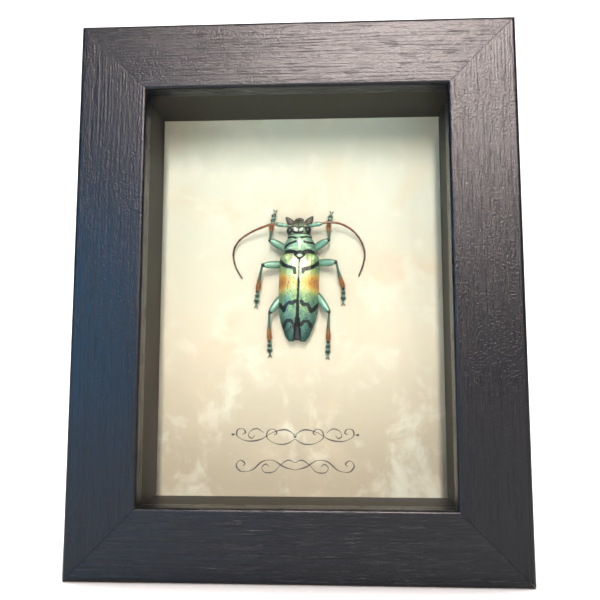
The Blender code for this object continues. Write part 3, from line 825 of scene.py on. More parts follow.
@dataclass
class Flourish:
    """Two lines of a plain pen flourish, mirrored left to right."""

    centre: float = -1.4
    upper: float = -34.8
    lower: float = -42.3
    hair: float = 0.075
    swell: float = 0.22
    steps: int = 14
    beat: float = 2.4
    dot: float = 0.28
    dot_half: float = 0.2
    dot_reach: float = 16.2

    @staticmethod
    def strokes() -> list[tuple[int, float, list[Point]]]:
        """Each stroke's line, its share of the swell, and its points to the right of the middle."""
        return [
            (0, 1.0, [(0.0, 0.5), (2.4, 1.75), (5.6, 1.1), (9.0, -0.75), (12.4, -1.1), (14.9, 0.1),
                      (14.8, 1.7), (13.4, 1.95), (12.8, 1.0), (13.6, 0.55)]),
            (0, 0.8, [(0.0, -0.6), (2.2, -1.8), (5.0, -1.75), (7.2, -0.3), (6.9, 1.5), (5.4, 1.9),
                      (4.7, 0.9), (5.5, 0.4)]),
            (0, 0.7, [(8.1, 1.0), (9.7, 2.0), (11.4, 1.5), (12.0, 0.2), (11.1, -0.4), (10.4, 0.3)]),
            (1, 1.0, [(0.0, -0.9), (2.8, -0.1), (5.6, 1.5), (8.4, 1.2), (11.0, -0.9), (13.8, -1.3),
                      (15.1, 0.2), (14.1, 1.5), (12.9, 0.8), (13.4, 0.0)]),
            (1, 0.7, [(0.0, 0.9), (1.7, 1.6), (3.6, 0.5), (5.4, -1.3), (7.7, -1.5), (8.5, -0.3),
                      (7.5, 0.6), (6.6, -0.1)]),
        ]

    def smooth(self, points: Sequence[Point]) -> list[Point]:
        """Run a smooth curve through points."""
        table = [(float(i), *point) for i, point in enumerate(points)]
        count = (len(points) - 1) * self.steps
        return [tuple(read(table, i / self.steps)) for i in range(count + 1)]

    def paths(self) -> list[tuple[list[Point], list[float]]]:
        """Each pen path on the card, with the half width at each of its points."""
        found = []
        for row, share, points in self.strokes():
            right = self.smooth(points)
            left = [(-x, z) for x, z in right]
            whole = [left[::-1] + right[1:]] if points[0][0] == 0 else [left, right]
            for path in whole:
                ends = len(path) - 1
                turns = max(round(ends / (self.beat * self.steps)), 1)
                widths = [self.hair + self.swell / 2 * share * math.sin(math.pi * turns * k / ends) ** 2
                          for k in range(ends + 1)]
                base = self.lower if row else self.upper
                found.append(([(self.centre + x, base + z) for x, z in path], widths))
        for x, raised in ((0.0, 0.0), (-self.dot_reach, 0.5), (self.dot_reach, 0.5)):
            dash = [(self.centre + x + side * self.dot_half, self.upper + raised) for side in (-1, 1)]
            found.append((dash, [self.dot, self.dot]))
        return found

    @staticmethod
    def ribbon(path: Sequence[Point], widths: Sequence[float]) -> list[Point]:
        """Outline of a stroke around its path."""
        left, right = [], []
        for k, ((x, z), half) in enumerate(zip(path, widths)):
            ahead = path[min(k + 1, len(path) - 1)]
            behind = path[max(k - 1, 0)]
            dx, dz = ahead[0] - behind[0], ahead[1] - behind[1]
            long = math.hypot(dx, dz) or 1.0
            left.append((x - dz / long * half, z + dx / long * half))
            right.append((x + dz / long * half, z - dx / long * half))
        return left + right[::-1]


@dataclass
class SpecimenCard:
    """The parchment card, one sheet whose face holds the flourish as ink."""

    low: Vector
    high: Vector
    middle: float
    flourish: Flourish = field(default_factory=Flourish)

    def face(self) -> tuple[list[Point], list[tuple[int, ...]], list[int]]:
        """Divide the card's face along the edges of the ink.

        Returns:
            Its points, its triangles and the slot of each, 1 for ink.
        """
        x0, x1 = self.low.x / MM, self.high.x / MM
        z0, z1 = self.low.z / MM - self.middle, self.high.z / MM - self.middle
        points = [(x0, z0), (x1, z0), (x1, z1), (x0, z1)]
        edges = [(0, 1), (1, 2), (2, 3), (3, 0)]
        paths = self.flourish.paths()
        for path, widths in paths:
            ring = self.flourish.ribbon(path, widths)
            first = len(points)
            points += ring
            edges += [(first + k, first + (k + 1) % len(ring)) for k in range(len(ring))]
        flat, _, triangles, *_ = delaunay_2d_cdt([Vector(p) for p in points], edges, [], 0, 1e-6)
        spots = np.array([tuple(p) for p in flat])
        centres = spots[np.array(triangles)].mean(axis=1)
        inked = np.zeros(len(triangles), bool)
        for path, widths in paths:
            for a, b, wa, wb in zip(path, path[1:], widths, widths[1:]):
                a, b = np.array(a), np.array(b)
                run = b - a
                t = np.clip((centres - a) @ run / (run @ run), 0, 1)
                gap = np.linalg.norm(centres - a - t[:, None] * run, axis=1)
                inked |= gap < wa + (wb - wa) * t
        return [tuple(p) for p in spots], [tuple(t) for t in triangles], inked.astype(int).tolist()

    def build(self) -> None:
        """Build the card as a closed sheet."""
        flat, triangles, slots = self.face()
        front, back = self.low.y / MM, self.high.y / MM
        piece = Piece()
        piece.points = [(x, front, z + self.middle) for x, z in flat]
        piece.faces, piece.slots = list(triangles), list(slots)
        first = len(piece.points)
        piece.points += [(x, back, z + self.middle) for x, z in flat[:4]]
        piece.faces.append((first + 3, first + 2, first + 1, first))
        piece.faces += [(k, (k + 1) % 4, first + (k + 1) % 4, first + k) for k in range(4)]
        piece.slots += [0] * 5
        inks = [Parchment().make("parchment"), PenInk().make("pen_ink")]
        item = piece.finish("card_sheet", inks, Matrix.Scale(MM, 4), 30.0)
        claim(item, "parchment", "card")


NECK_LINE: Line = (
    (-4.5, 12.30), (-3.58, 12.37), (-2.40, 12.47), (-1.36, 12.29), (-0.78, 11.91), (0.02, 12.13),
    (0.81, 11.93), (1.61, 12.39), (2.72, 12.48), (3.50, 12.23), (4.4, 12.18))
PLATE_LINE: Line = (
    (-1.35, 12.19), (-1.09, 11.38), (-0.38, 10.58), (0.57, 10.57), (1.21, 11.29), (1.62, 12.16))


@dataclass
class WingCases:
    """The two wing cases, with the bands, the orange flanks and the pale middle."""

    place: Matrix
    stations: Table = (
        (12.55, 0.00, 3.05, 5.00, 4.20), (12.0, 0.00, 4.20, 5.95, 3.90),
        (11.3, 0.00, 4.85, 6.60, 3.55), (10.2, 0.00, 5.15, 7.00, 3.20),
        (8.0, 0.00, 5.20, 7.20, 2.90), (5.0, 0.00, 5.20, 7.25, 2.70),
        (0.0, 0.00, 5.20, 7.00, 2.70), (-2.6, 0.00, 5.10, 6.65, 2.75),
        (-5.4, 0.08, 4.50, 6.00, 2.90), (-7.6, 0.40, 3.72, 5.30, 3.00),
        (-9.4, 0.65, 3.00, 4.55, 3.05), (-10.5, 0.82, 2.15, 4.00, 3.10),
    )
    turn: float = math.radians(-1.85)
    pivot: float = 12.0
    arch: float = 2.5
    groove: float = 0.28
    groove_width: float = 0.35
    ridge: float = 0.07
    lip: float = 0.6
    half_width: float = 5.2
    sharp: float = 60.0
    sections: int = 150
    steps: int = 64
    bands: tuple[tuple[float, Line], ...] = (
        (0.46, ((-6.4, 10.5), (-5.31, 10.27), (-4.83, 9.90), (-3.96, 8.90), (-3.14, 8.44),
                (-2.16, 8.16), (-1.21, 7.79))),
        (0.42, ((-1.21, 7.79), (-1.05, 6.76))),
        (0.46, ((6.4, 10.2), (5.12, 9.69), (4.31, 8.98), (3.53, 8.34), (2.43, 7.87), (1.01, 7.64))),
        (0.42, ((1.01, 7.64), (0.91, 6.91))),
        (0.47, ((-6.4, -0.9), (-4.85, -1.37), (-3.90, -2.75), (-3.25, -1.16), (-2.48, -0.75),
                (-1.76, -0.96), (-1.04, -0.50))),
        (0.47, ((0.51, -0.55), (1.13, -1.36), (2.16, -1.26), (2.98, -3.00), (4.73, -1.40),
                (6.4, -0.9))),
        (0.42, ((-4.10, -6.90), (-3.25, -5.25), (-2.20, -5.30), (-1.55, -6.20), (-1.45, -6.9))),
        (0.42, ((0.20, -6.50), (1.15, -5.50), (2.13, -5.50), (3.05, -7.10))),
        (0.17, ((-2.20, -6.75), (-2.35, -7.20))), (0.16, ((-2.85, -7.45), (-2.55, -7.65))),
        (0.13, ((-3.20, -7.95), (-3.15, -8.05))), (0.13, ((1.50, -7.4), (1.55, -7.6))),
        (0.50, NECK_LINE), (0.26, PLATE_LINE),
        (0.14, ((0.05, 10.3), (-0.15, 5.0))), (0.24, ((-0.15, 5.0), (-0.30, 1.5))),
        (0.32, ((-0.30, 1.5), (-0.42, -2.0))), (0.42, ((-0.42, -2.0), (-0.55, -5.0))),
        (0.70, ((-0.55, -5.0), (-0.62, -7.5))), (0.95, ((-0.62, -7.5), (-0.72, -10.6))),
    )
    tones: Table = (
        (12.6, 0.10), (9.0, 0.12), (6.0, 0.16), (3.0, 0.20), (0.0, 0.34), (-3.0, 0.42), (-5.0, 0.60),
        (-8.0, 0.80), (-10.5, 0.92),
    )

    def rings(self, side: int) -> tuple[Rings, np.ndarray, np.ndarray]:
        """Points of one wing case.

        Args:
            side: -1 for the left one and 1 for the right one.

        Returns:
            Its rings, the share from suture to margin and the place along the body at each point.
        """
        rings, across, along = [], [], []
        for t in 0.5 - 0.5 * np.cos(np.linspace(0, math.pi, self.sections)):
            y = self.stations[0][0] + (self.stations[-1][0] - self.stations[0][0]) * t
            inner, outer, top, margin = read(self.stations, y)
            ring, shares = [], []
            for turn in np.linspace(0, math.pi / 2, self.steps + 1):
                share = math.sin(turn) ** (2 / self.arch)
                lift = max(math.cos(turn), 0.0) ** (2 / self.arch)
                x = inner + (outer - inner) * share
                z = margin + (top - margin) * lift
                z -= self.groove * math.exp(-((x - inner) / self.groove_width) ** 2)
                z += self.ridge * float(hill(share, 0.34, 0.05) + hill(share, 0.60, 0.05)) * (1 - t)
                z += 0.25 * float(hill(share, 0.80, 0.12) * hill(y, 10.9, 0.9))
                z -= 0.12 * float(hill(share, 0.55, 0.2) * hill(y, 11.0, 0.8))
                ring.append((x, y, z))
                shares.append(share)
            floor = margin - self.lip
            ring += [(inner + 0.97 * (outer - inner), y, margin - self.lip / 2),
                     (inner + 0.92 * (outer - inner), y, floor),
                     (inner + 0.45 * (outer - inner), y, floor - self.lip / 2),
                     (inner + 0.02, y, floor - self.lip / 2),
                     (inner + 0.02, y, top - 1.5 * self.groove)]
            shares += [1.0, 1.0, 0.6, 0.0, 0.0]
            rings.append([(side * px, py, pz) for px, py, pz in ring])
            across.append(shares)
            along.append([y] * len(ring))
        return turned(np.array(rings), self.pivot, self.turn), np.array(across), np.array(along)

    def build(self) -> None:
        """Build both wing cases."""
        shell = Shell(stops=(
            (0.00, tint(212, 218, 178)), (0.20, tint(168, 190, 126)), (0.40, tint(116, 156, 112)),
            (0.60, tint(94, 134, 120)), (0.80, tint(64, 112, 104)), (1.00, tint(40, 78, 76)),
        ), stretch=(1.0, 1.0, 0.5), pit=0.62, speckle=0.85)
        for side, name in ((-1, "left"), (1, "right")):
            rings, across, along = self.rings(side)
            base = np.vectorize(lambda y: read(self.tones, y)[0])(along[:, :1])
            tone = base + 0.35 * across ** 2.2
            flush = hill(along, 4.2, 2.4) * (0.36 + 0.66 * rise(across, 0.15, 0.95))
            out = across * self.half_width
            # The pale patch behind the shoulders is partly the wing cases' own pale scales and partly a
            # painted highlight; the pale strip by the suture is their own colour.
            pale = 0.85 * hill(out, 1.6, 1.3) * hill(along, 9.2, 1.25)
            pale += hill(out, 0.6, 0.4) * rise(along, 2.0, 7.0)
            mark = distance(rings[..., 0], rings[..., 1], self.bands)
            skin_over(rings, f"wing_case_{name}", shell.make(f"wing_case_{name}_shell"), self.place,
                      self.sharp, tone=tone, flush=flush, pale=pale, mark=mark)


@dataclass
class Trunk:
    """The abdomen, the shield behind the head and the small plate between the wing cases."""

    place: Matrix
    abdomen: Table = (
        (11.9, 2.60, 4.20, 1.20), (10.0, 4.30, 4.60, 0.45), (5.0, 4.55, 4.60, 0.35),
        (0.0, 4.50, 4.50, 0.35), (-4.0, 4.00, 4.30, 0.50), (-7.5, 2.60, 4.00, 1.00),
        (-9.6, 1.30, 3.60, 1.80), (-10.2, 0.60, 3.20, 2.40),
    )
    shield: Table = (
        (11.6, 3.45, 5.20, 1.30), (12.1, 3.85, 5.75, 0.90), (12.9, 3.92, 6.05, 0.70),
        (13.6, 4.00, 6.30, 0.65), (14.6, 3.95, 6.35, 0.70), (15.4, 3.60, 6.20, 0.80),
        (16.1, 3.20, 5.85, 1.00), (16.7, 3.12, 5.60, 1.15), (17.2, 2.85, 5.20, 1.30),
        (17.6, 2.40, 4.70, 1.70),
    )
    marks: tuple[tuple[float, Line], ...] = (
        (0.28, ((-3.4, 16.25), (-2.98, 16.19), (-1.95, 16.30), (-0.98, 15.98))),
        (0.28, ((0.47, 16.03), (1.75, 16.32), (2.77, 16.26), (3.3, 16.3))),
        (0.30, ((-0.87, 14.97), (-1.74, 14.74), (-2.73, 14.40), (-3.68, 13.70), (-4.3, 13.4))),
        (0.30, ((1.21, 14.95), (1.78, 14.74), (2.56, 14.63), (3.66, 14.68), (4.3, 14.7))),
        (0.50, NECK_LINE),
        (0.12, ((0.15, 15.47), (0.16, 15.42))),
        (0.20, ((-3.6, 16.9), (-2.0, 17.20), (0.0, 17.30), (2.0, 17.20), (3.6, 16.9))),
    )
    plate_marks: tuple[tuple[float, Line], ...] = ((0.28, PLATE_LINE), (0.50, NECK_LINE))
    ring: float = 2.6
    crease: float = 0.10

    @staticmethod
    def folds(across: float, along: float) -> float:
        """Cross folds, bosses and the raised middle of the shield."""
        wide = 1 - abs(across) ** 3
        lift = -0.26 * float(hill(along, 16.45 - 0.25 * across * across, 0.20)) * wide
        lift -= 0.20 * float(hill(along, 12.35 + 0.2 * across * across, 0.22)) * wide
        lift -= 0.16 * float(hill(along, 14.75 - 0.9 * abs(across), 0.22)) * rise(abs(across), 0.15, 0.4)
        lift += 0.14 * float(hill(across, 0.0, 0.16) * hill(along, 14.6, 1.3))
        lift += 0.10 * float(hill(abs(across), 0.55, 0.18) * hill(along, 13.4, 0.5))
        return lift

    def build(self) -> None:
        """Build the three segments."""
        rings = barrel(self.abdomen, 90, 72, lambda across, along: 0.0)
        waves = 0.5 + 0.5 * np.cos(2 * math.pi * rings[..., 1] / self.ring)
        rings[..., 2] += self.crease * (1 - waves ** 6) * np.where(rings[..., 2] < 2.5, -1, 1)
        joints = np.abs((rings[..., 1] / self.ring + 0.5) % 1 - 0.5) * self.ring - self.crease
        tail = rise(-rings[..., 1], 8.6, 9.8)
        belly = Shell(stops=((0.0, tint(40, 52, 50)), (0.4, tint(50, 42, 58)), (0.8, tint(56, 46, 58)),
                             (1.0, tint(84, 66, 64))), roughness=0.42)
        skin_over(turned(rings, WingCases.pivot, WingCases.turn), "abdomen",
                  belly.make("belly_shell"), self.place, tone=0.25 + 0.6 * tail, mark=joints)

        rings = barrel(self.shield, 110, 120, self.folds)
        x, y = rings[..., 0], rings[..., 1]
        pale = hill(x, 0.05, 0.34) * rise(y, 12.4, 13.2) * rise(-y, -16.3, -15.6)
        pale += 0.8 * hill(y, 13.35, 0.28) * hill(np.abs(x), 2.3, 0.9)
        tone = 0.18 + 0.42 * rise(np.abs(x), 1.2, 4.0) + 0.12 * hill(y, 16.2, 0.7)
        pale += 0.45 * hill(y, 15.75, 0.3) * hill(np.abs(x), 1.6, 1.4)
        coat = Shell(stops=((0.0, tint(180, 208, 170)), (0.3, tint(132, 176, 146)),
                            (0.6, tint(104, 146, 130)), (1.0, tint(62, 88, 80))),
                     pale=tint(240, 242, 226), ragged_mm=0.16, roughness=0.52, coat=0.03)
        skin_over(rings, "shield", coat.make("shield_shell"), self.place, tone=tone, pale=pale,
                  flush=0.25 * hill(x, 2.6, 0.7) * hill(y, 12.3, 0.4), mark=distance(x, y, self.marks))

        rings = ball((0.08, 11.40, 5.95), (1.30, 1.15, 0.80), 24, 40)
        x, y = rings[..., 0], rings[..., 1]
        skin_over(rings, "scutellum", coat.make("plate_shell"), self.place, tone=0.1,
                  pale=0.6 * hill(x, 0, 0.5), mark=distance(x, y, self.plate_marks))


def turned(rings: Rings, pivot: float, angle: float) -> Rings:
    """Turn rings about a place on the body's middle line.

    Args:
        rings: Array whose last axis holds the three coordinates.
        pivot: The place along the body.
        angle: The turn in radians, to the left as seen from above the card.

    Returns:
        The turned rings.
    """
    c, s = math.cos(angle), math.sin(angle)
    x, y = rings[..., 0], rings[..., 1] - pivot
    return np.stack([c * x - s * y, pivot + s * x + c * y, rings[..., 2]], axis=-1)


def ball(centre: Place, radii: Place, rings: int, sides: int) -> Rings:
    """Rings of an ellipsoid, from its tail end to its head end."""
    out = np.empty((rings, sides, 3))
    for i in range(rings):
        lean = math.pi * (i + 0.5) / rings
        for j in range(sides):
            turn = 2 * math.pi * j / sides
            out[i, j] = (centre[0] + radii[0] * math.sin(lean) * math.cos(turn),
                         centre[1] - radii[1] * math.cos(lean),
                         centre[2] + radii[2] * math.sin(lean) * math.sin(turn))
    return out


def barrel(table: Table, sections: int, sides: int,
           shape: Callable[[float, float], float]) -> Rings:
    """Rings of a body segment.

    Args:
        table: Place along the body, half width, top and bottom.
        sections: Rings along it.
        sides: Points around it.
        shape: Height added at a place across (-1 to 1) and along the body.

    Returns:
        The rings.
    """
    rings = np.empty((sections, sides, 3))
    first, last = table[0][0], table[-1][0]
    for i in range(sections):
        y = first + (last - first) * (0.5 - 0.5 * math.cos(math.pi * i / (sections - 1)))
        half, top, bottom = read(table, y)
        for j in range(sides):
            turn = 2 * math.pi * j / sides
            c, s = (math.copysign(abs(v) ** (2 / SQUARENESS), v) for v in (math.cos(turn), math.sin(turn)))
            lift = shape(c, y) * max(s, 0.0)
            rings[i, j] = (half * c, y, (top + bottom) / 2 + (top - bottom) / 2 * s + lift)
    return rings


def tube(line: Sequence[Place], widths: Table, sides: int, sections: int,
         flatness: float = 1.0) -> Rings:
    """Rings of a limb along a line of points.

    Args:
        line: The points of its middle.
        widths: Place along it, from 0 to 1, and its width there.
        sides: Points around it.
        sections: Rings along it.
        flatness: Its height as a share of its width.

    Returns:
        The rings.
    """
    path = [Vector(point) for point in line]
    lengths = [0.0]
    for a, b in zip(path, path[1:]):
        lengths.append(lengths[-1] + (b - a).length)
    route = [(length / lengths[-1], *point) for length, point in zip(lengths, path)]
    rings = np.empty((sections, sides, 3))
    for i in range(sections):
        at = i / (sections - 1)
        centre = Vector(read(route, at))
        ahead = Vector(read(route, at + LOOK_AHEAD)) - Vector(read(route, at - LOOK_AHEAD))
        width = read(widths, at)[0]
        sideways = ahead.cross(Vector((0, 0, 1))).normalized()
        upward = sideways.cross(ahead).normalized()
        for j in range(sides):
            turn = 2 * math.pi * (j + 0.5) / sides
            out = sideways * math.cos(turn) + upward * math.sin(turn) * flatness
            rings[i, j] = centre + out * width / 2
    return rings


@dataclass
class HeadPiece:
    """The head with its eyes, jaws, lip and feelers' sockets."""

    place: Matrix
    stations: Table = (
        (16.6, 2.20, 4.70, 1.60), (17.4, 2.95, 5.25, 1.40), (18.3, 3.15, 5.45, 1.30),
        (19.2, 2.90, 5.25, 1.20), (20.0, 2.15, 4.75, 1.20), (20.8, 1.45, 4.15, 1.30),
        (21.5, 0.95, 3.55, 1.60),
    )
    turn: float = math.radians(1.0)
    pivot: float = 16.0
    shift: float = -0.2
    jaw: Sequence[Place] = ((1.20, 19.2, 2.4), (2.15, 20.35, 2.7), (2.95, 21.35, 2.9), (3.55, 22.15, 2.9))
    jaw_widths: Table = ((0.0, 1.90), (0.38, 2.10), (0.66, 1.60), (0.88, 0.95), (1.0, 0.30))
    marks: tuple[tuple[float, Line], ...] = (
        (0.17, ((-0.36, 20.5), (-0.33, 17.58))),
        (0.22, ((-1.47, 17.61), (-0.33, 17.30), (0.79, 17.59))),
        (0.21, ((-2.27, 18.90), (-0.98, 19.02), (-0.34, 18.58), (0.47, 19.00), (1.50, 18.79))),
        (0.12, ((-1.8, 20.9), (1.4, 20.9))),
        (0.42, ((-2.0, 18.01), (-2.5, 18.3))), (0.42, ((1.75, 18.46), (2.0, 18.0))),
    )

    @staticmethod
    def brow(across: float, along: float) -> float:
        """Bosses behind the feelers and the groove down the face."""
        lift = 0.42 * float(hill(abs(across), 0.60, 0.22) * hill(along, 18.9, 0.55))
        lift -= 0.30 * float(hill(across, 0.0, 0.12) * hill(along, 19.2, 1.0))
        return lift + 0.16 * float(hill(abs(across), 0.30, 0.14) * hill(along, 17.9, 0.35))

    def build(self) -> None:
        """Build the head, the eyes, the jaws and the upper lip."""
        rings = barrel(self.stations, 80, 96, self.brow)
        rings[..., 0] += self.shift
        rings = turned(rings, self.pivot, self.turn)
        x, y = rings[..., 0], rings[..., 1]
        pale = 0.9 * hill(np.abs(x + 0.34), 0.62, 0.34) * hill(y, 18.1, 0.36)
        pale += hill(np.abs(x + 0.4), 1.85, 0.30) * hill(y, 19.2, 0.14) * 1.4
        tone = 0.30 + 0.30 * rise(np.abs(x), 0.6, 2.6) + 0.45 * rise(y, 19.2, 20.8)
        skin = Shell(stops=((0.0, tint(178, 200, 160)), (0.3, tint(128, 150, 124)),
                            (0.6, tint(96, 100, 84)), (1.0, tint(74, 54, 40))),
                     pale=tint(226, 228, 176), ragged_mm=0.14)
        skin_over(rings, "head", skin.make("head_shell"), self.place, tone=tone, pale=pale,
                  mark=distance(x, y, self.marks))
        horn = Shell(stops=((0.0, tint(82, 62, 50)), (1.0, tint(40, 30, 26))), roughness=0.62,
                     metallic=0.0, coat=0.02, relief_mm=0.012)
        eye = Shell(stops=((0.0, tint(16, 15, 17)), (1.0, tint(30, 27, 28))), roughness=0.40,
                    metallic=0.0, scale_mm=0.12, relief_mm=0.012, coat=0.1)
        for side, name in ((-1, "left"), (1, "right")):
            line = [(side * px, py, pz) for px, py, pz in self.jaw]
            rings = turned(tube(line, self.jaw_widths, 28, 60, 0.7), self.pivot, self.turn)
            blade = rise(rings[..., 1], 20.2, 22.2)
            skin_over(rings, f"jaw_{name}", horn.make(f"jaw_{name}_shell"), self.place, pull=0.6,
                      tone=blade)
            rings = ball((side * 2.25 + self.shift, 18.15, 4.2), (0.94, 0.98, 1.13), 30, 44)
            notch = hill(rings[..., 0], side * 1.7 + self.shift, 0.5) * hill(rings[..., 1], 19.0, 0.45)
            rings[..., 2] -= 0.5 * notch * rise(rings[..., 2], 3.8, 4.6)
            skin_over(turned(rings, self.pivot, self.turn), f"eye_{name}",
                      eye.make(f"eye_{name}_facets"), self.place, tone=0.3)
        rings = turned(ball((0.0, 21.25, 2.75), (1.15, 0.62, 0.55), 20, 36), self.pivot, self.turn)
        skin_over(rings, "upper_lip", horn.make("lip_shell"), self.place, tone=0.2)


class Growth(Graph):
    """A node group that turns the geometry that it is given into a dressed mesh."""

    def __init__(self, name: str, **kinds: str) -> None:
        """Make the group.

        Args:
            name: Its name.
            kinds: The kind of each input beside its geometry and its material.
        """
        super().__init__(bpy.data.node_groups.new(name, "GeometryNodeTree"))
        ends = [("INPUT", label, kind) for label, kind in
                {"Geometry": "Geometry", **kinds, "Material": "Material"}.items()]
        for end, label, kind in (*ends, ("OUTPUT", "Geometry", "Geometry")):
            self.tree.interface.new_socket(name=label, in_out=end, socket_type=f"NodeSocket{kind}")
        self.given = self.node("NodeGroupInput").outputs

    def number(self, name: str) -> Value:
        """A number that the group is given."""
        return Value(self, self.given[name])

    def close(self, geometry: bpy.types.NodeSocket) -> None:
        """Give the geometry out as a real mesh in the group's material."""
        solid = self.node("GeometryNodeRealizeInstances", None, {"Geometry": geometry})
        dressed = self.node("GeometryNodeSetMaterial", None, {
            "Geometry": solid.outputs[0], "Material": self.given["Material"]})
        self.node("NodeGroupOutput", None, {"Geometry": dressed.outputs[0]})


@dataclass
class Bristles:
    """Fine bristles on a limb, thick where its mesh says so."""

    length: float = 0.50
    radius: float = 0.020
    density: float = 26.0
    lean: float = 0.75
    spin: float = 6.28
    shortest: float = 0.5
    longest: float = 1.15
    seed: int = 5

    def tree(self) -> bpy.types.NodeTree:
        """Build the node group that grows them."""
        graph = Growth("bristles", Length="Float", Radius="Float", Density="Float", Seed="Int")
        given = graph.given
        share = graph.node("GeometryNodeInputNamedAttribute", {"data_type": "FLOAT"}, {"Name": "hair"})
        density = graph.number("Density") * Value(graph, share.outputs[0])
        roots = graph.node("GeometryNodeDistributePointsOnFaces", None, {
            "Mesh": given["Geometry"], "Density": density, "Seed": given["Seed"]})
        cone = graph.node("GeometryNodeMeshCone", {"fill_type": "TRIANGLE_FAN"}, {
            "Vertices": 4, "Radius Top": 0.0, "Radius Bottom": given["Radius"],
            "Depth": given["Length"]})
        lean = graph.node("FunctionNodeRandomValue", {"data_type": "FLOAT_VECTOR"}, {
            0: (-self.lean, -self.lean, 0.0), 1: (self.lean, self.lean, self.spin),
            "Seed": given["Seed"]})
        turn = graph.node("FunctionNodeRotateRotation", {"rotation_space": "LOCAL"}, {
            0: roots.outputs["Rotation"], 1: lean.outputs[0]})
        size = graph.node("FunctionNodeRandomValue", {"data_type": "FLOAT"}, {
            2: self.shortest, 3: self.longest, "Seed": given["Seed"]})
        hairs = graph.node("GeometryNodeInstanceOnPoints", None, {
            "Points": roots.outputs["Points"], "Instance": cone.outputs[0],
            "Rotation": turn.outputs[0], "Scale": size.outputs[1]})
        graph.close(hairs.outputs[0])
        return graph.tree

    def grow(self, tree: bpy.types.NodeTree, item: bpy.types.Object, name: str,
             material: bpy.types.Material) -> bpy.types.Object:
        """Grow bristles on a finished piece.

        Args:
            tree: The node group.
            item: The piece that they grow on.
            name: Name of the bristles' piece.
            material: Their material.

        Returns:
            The bristles as a plain mesh object.
        """
        values = {"Length": self.length * MM, "Radius": self.radius * MM,
                  "Density": self.density / MM**2, "Seed": self.seed, "Material": material}
        return grown(tree, item.data.copy(), values, name)


def grown(tree: bpy.types.NodeTree, data: bpy.types.ID, values: dict[str, Any],
          name: str) -> bpy.types.Object:
    """Run a node group on a mesh or curve and keep the result as a plain mesh.

    Args:
        tree: The node group.
        data: The mesh or curve that it starts from.
        values: The group's inputs by name.
        name: Name of the new object.

    Returns:
        The new object.
    """
    carrier = bpy.data.objects.new(name + "_carrier", data)
    bpy.context.scene.collection.objects.link(carrier)
    modifier = carrier.modifiers.new(name, "NODES")
    modifier.node_group = tree
    for socket in tree.interface.items_tree:
        if socket.in_out == "INPUT" and socket.name in values:
            modifier[socket.identifier] = values[socket.name]
    seen = carrier.evaluated_get(bpy.context.evaluated_depsgraph_get())
    mesh = bpy.data.meshes.new_from_object(seen)
    carrier.modifiers.remove(modifier)
    bpy.data.objects.remove(carrier, do_unlink=True)
    mesh.name = name
    item = bpy.data.objects.new(name, mesh)
    bpy.context.scene.collection.objects.link(item)
    return item


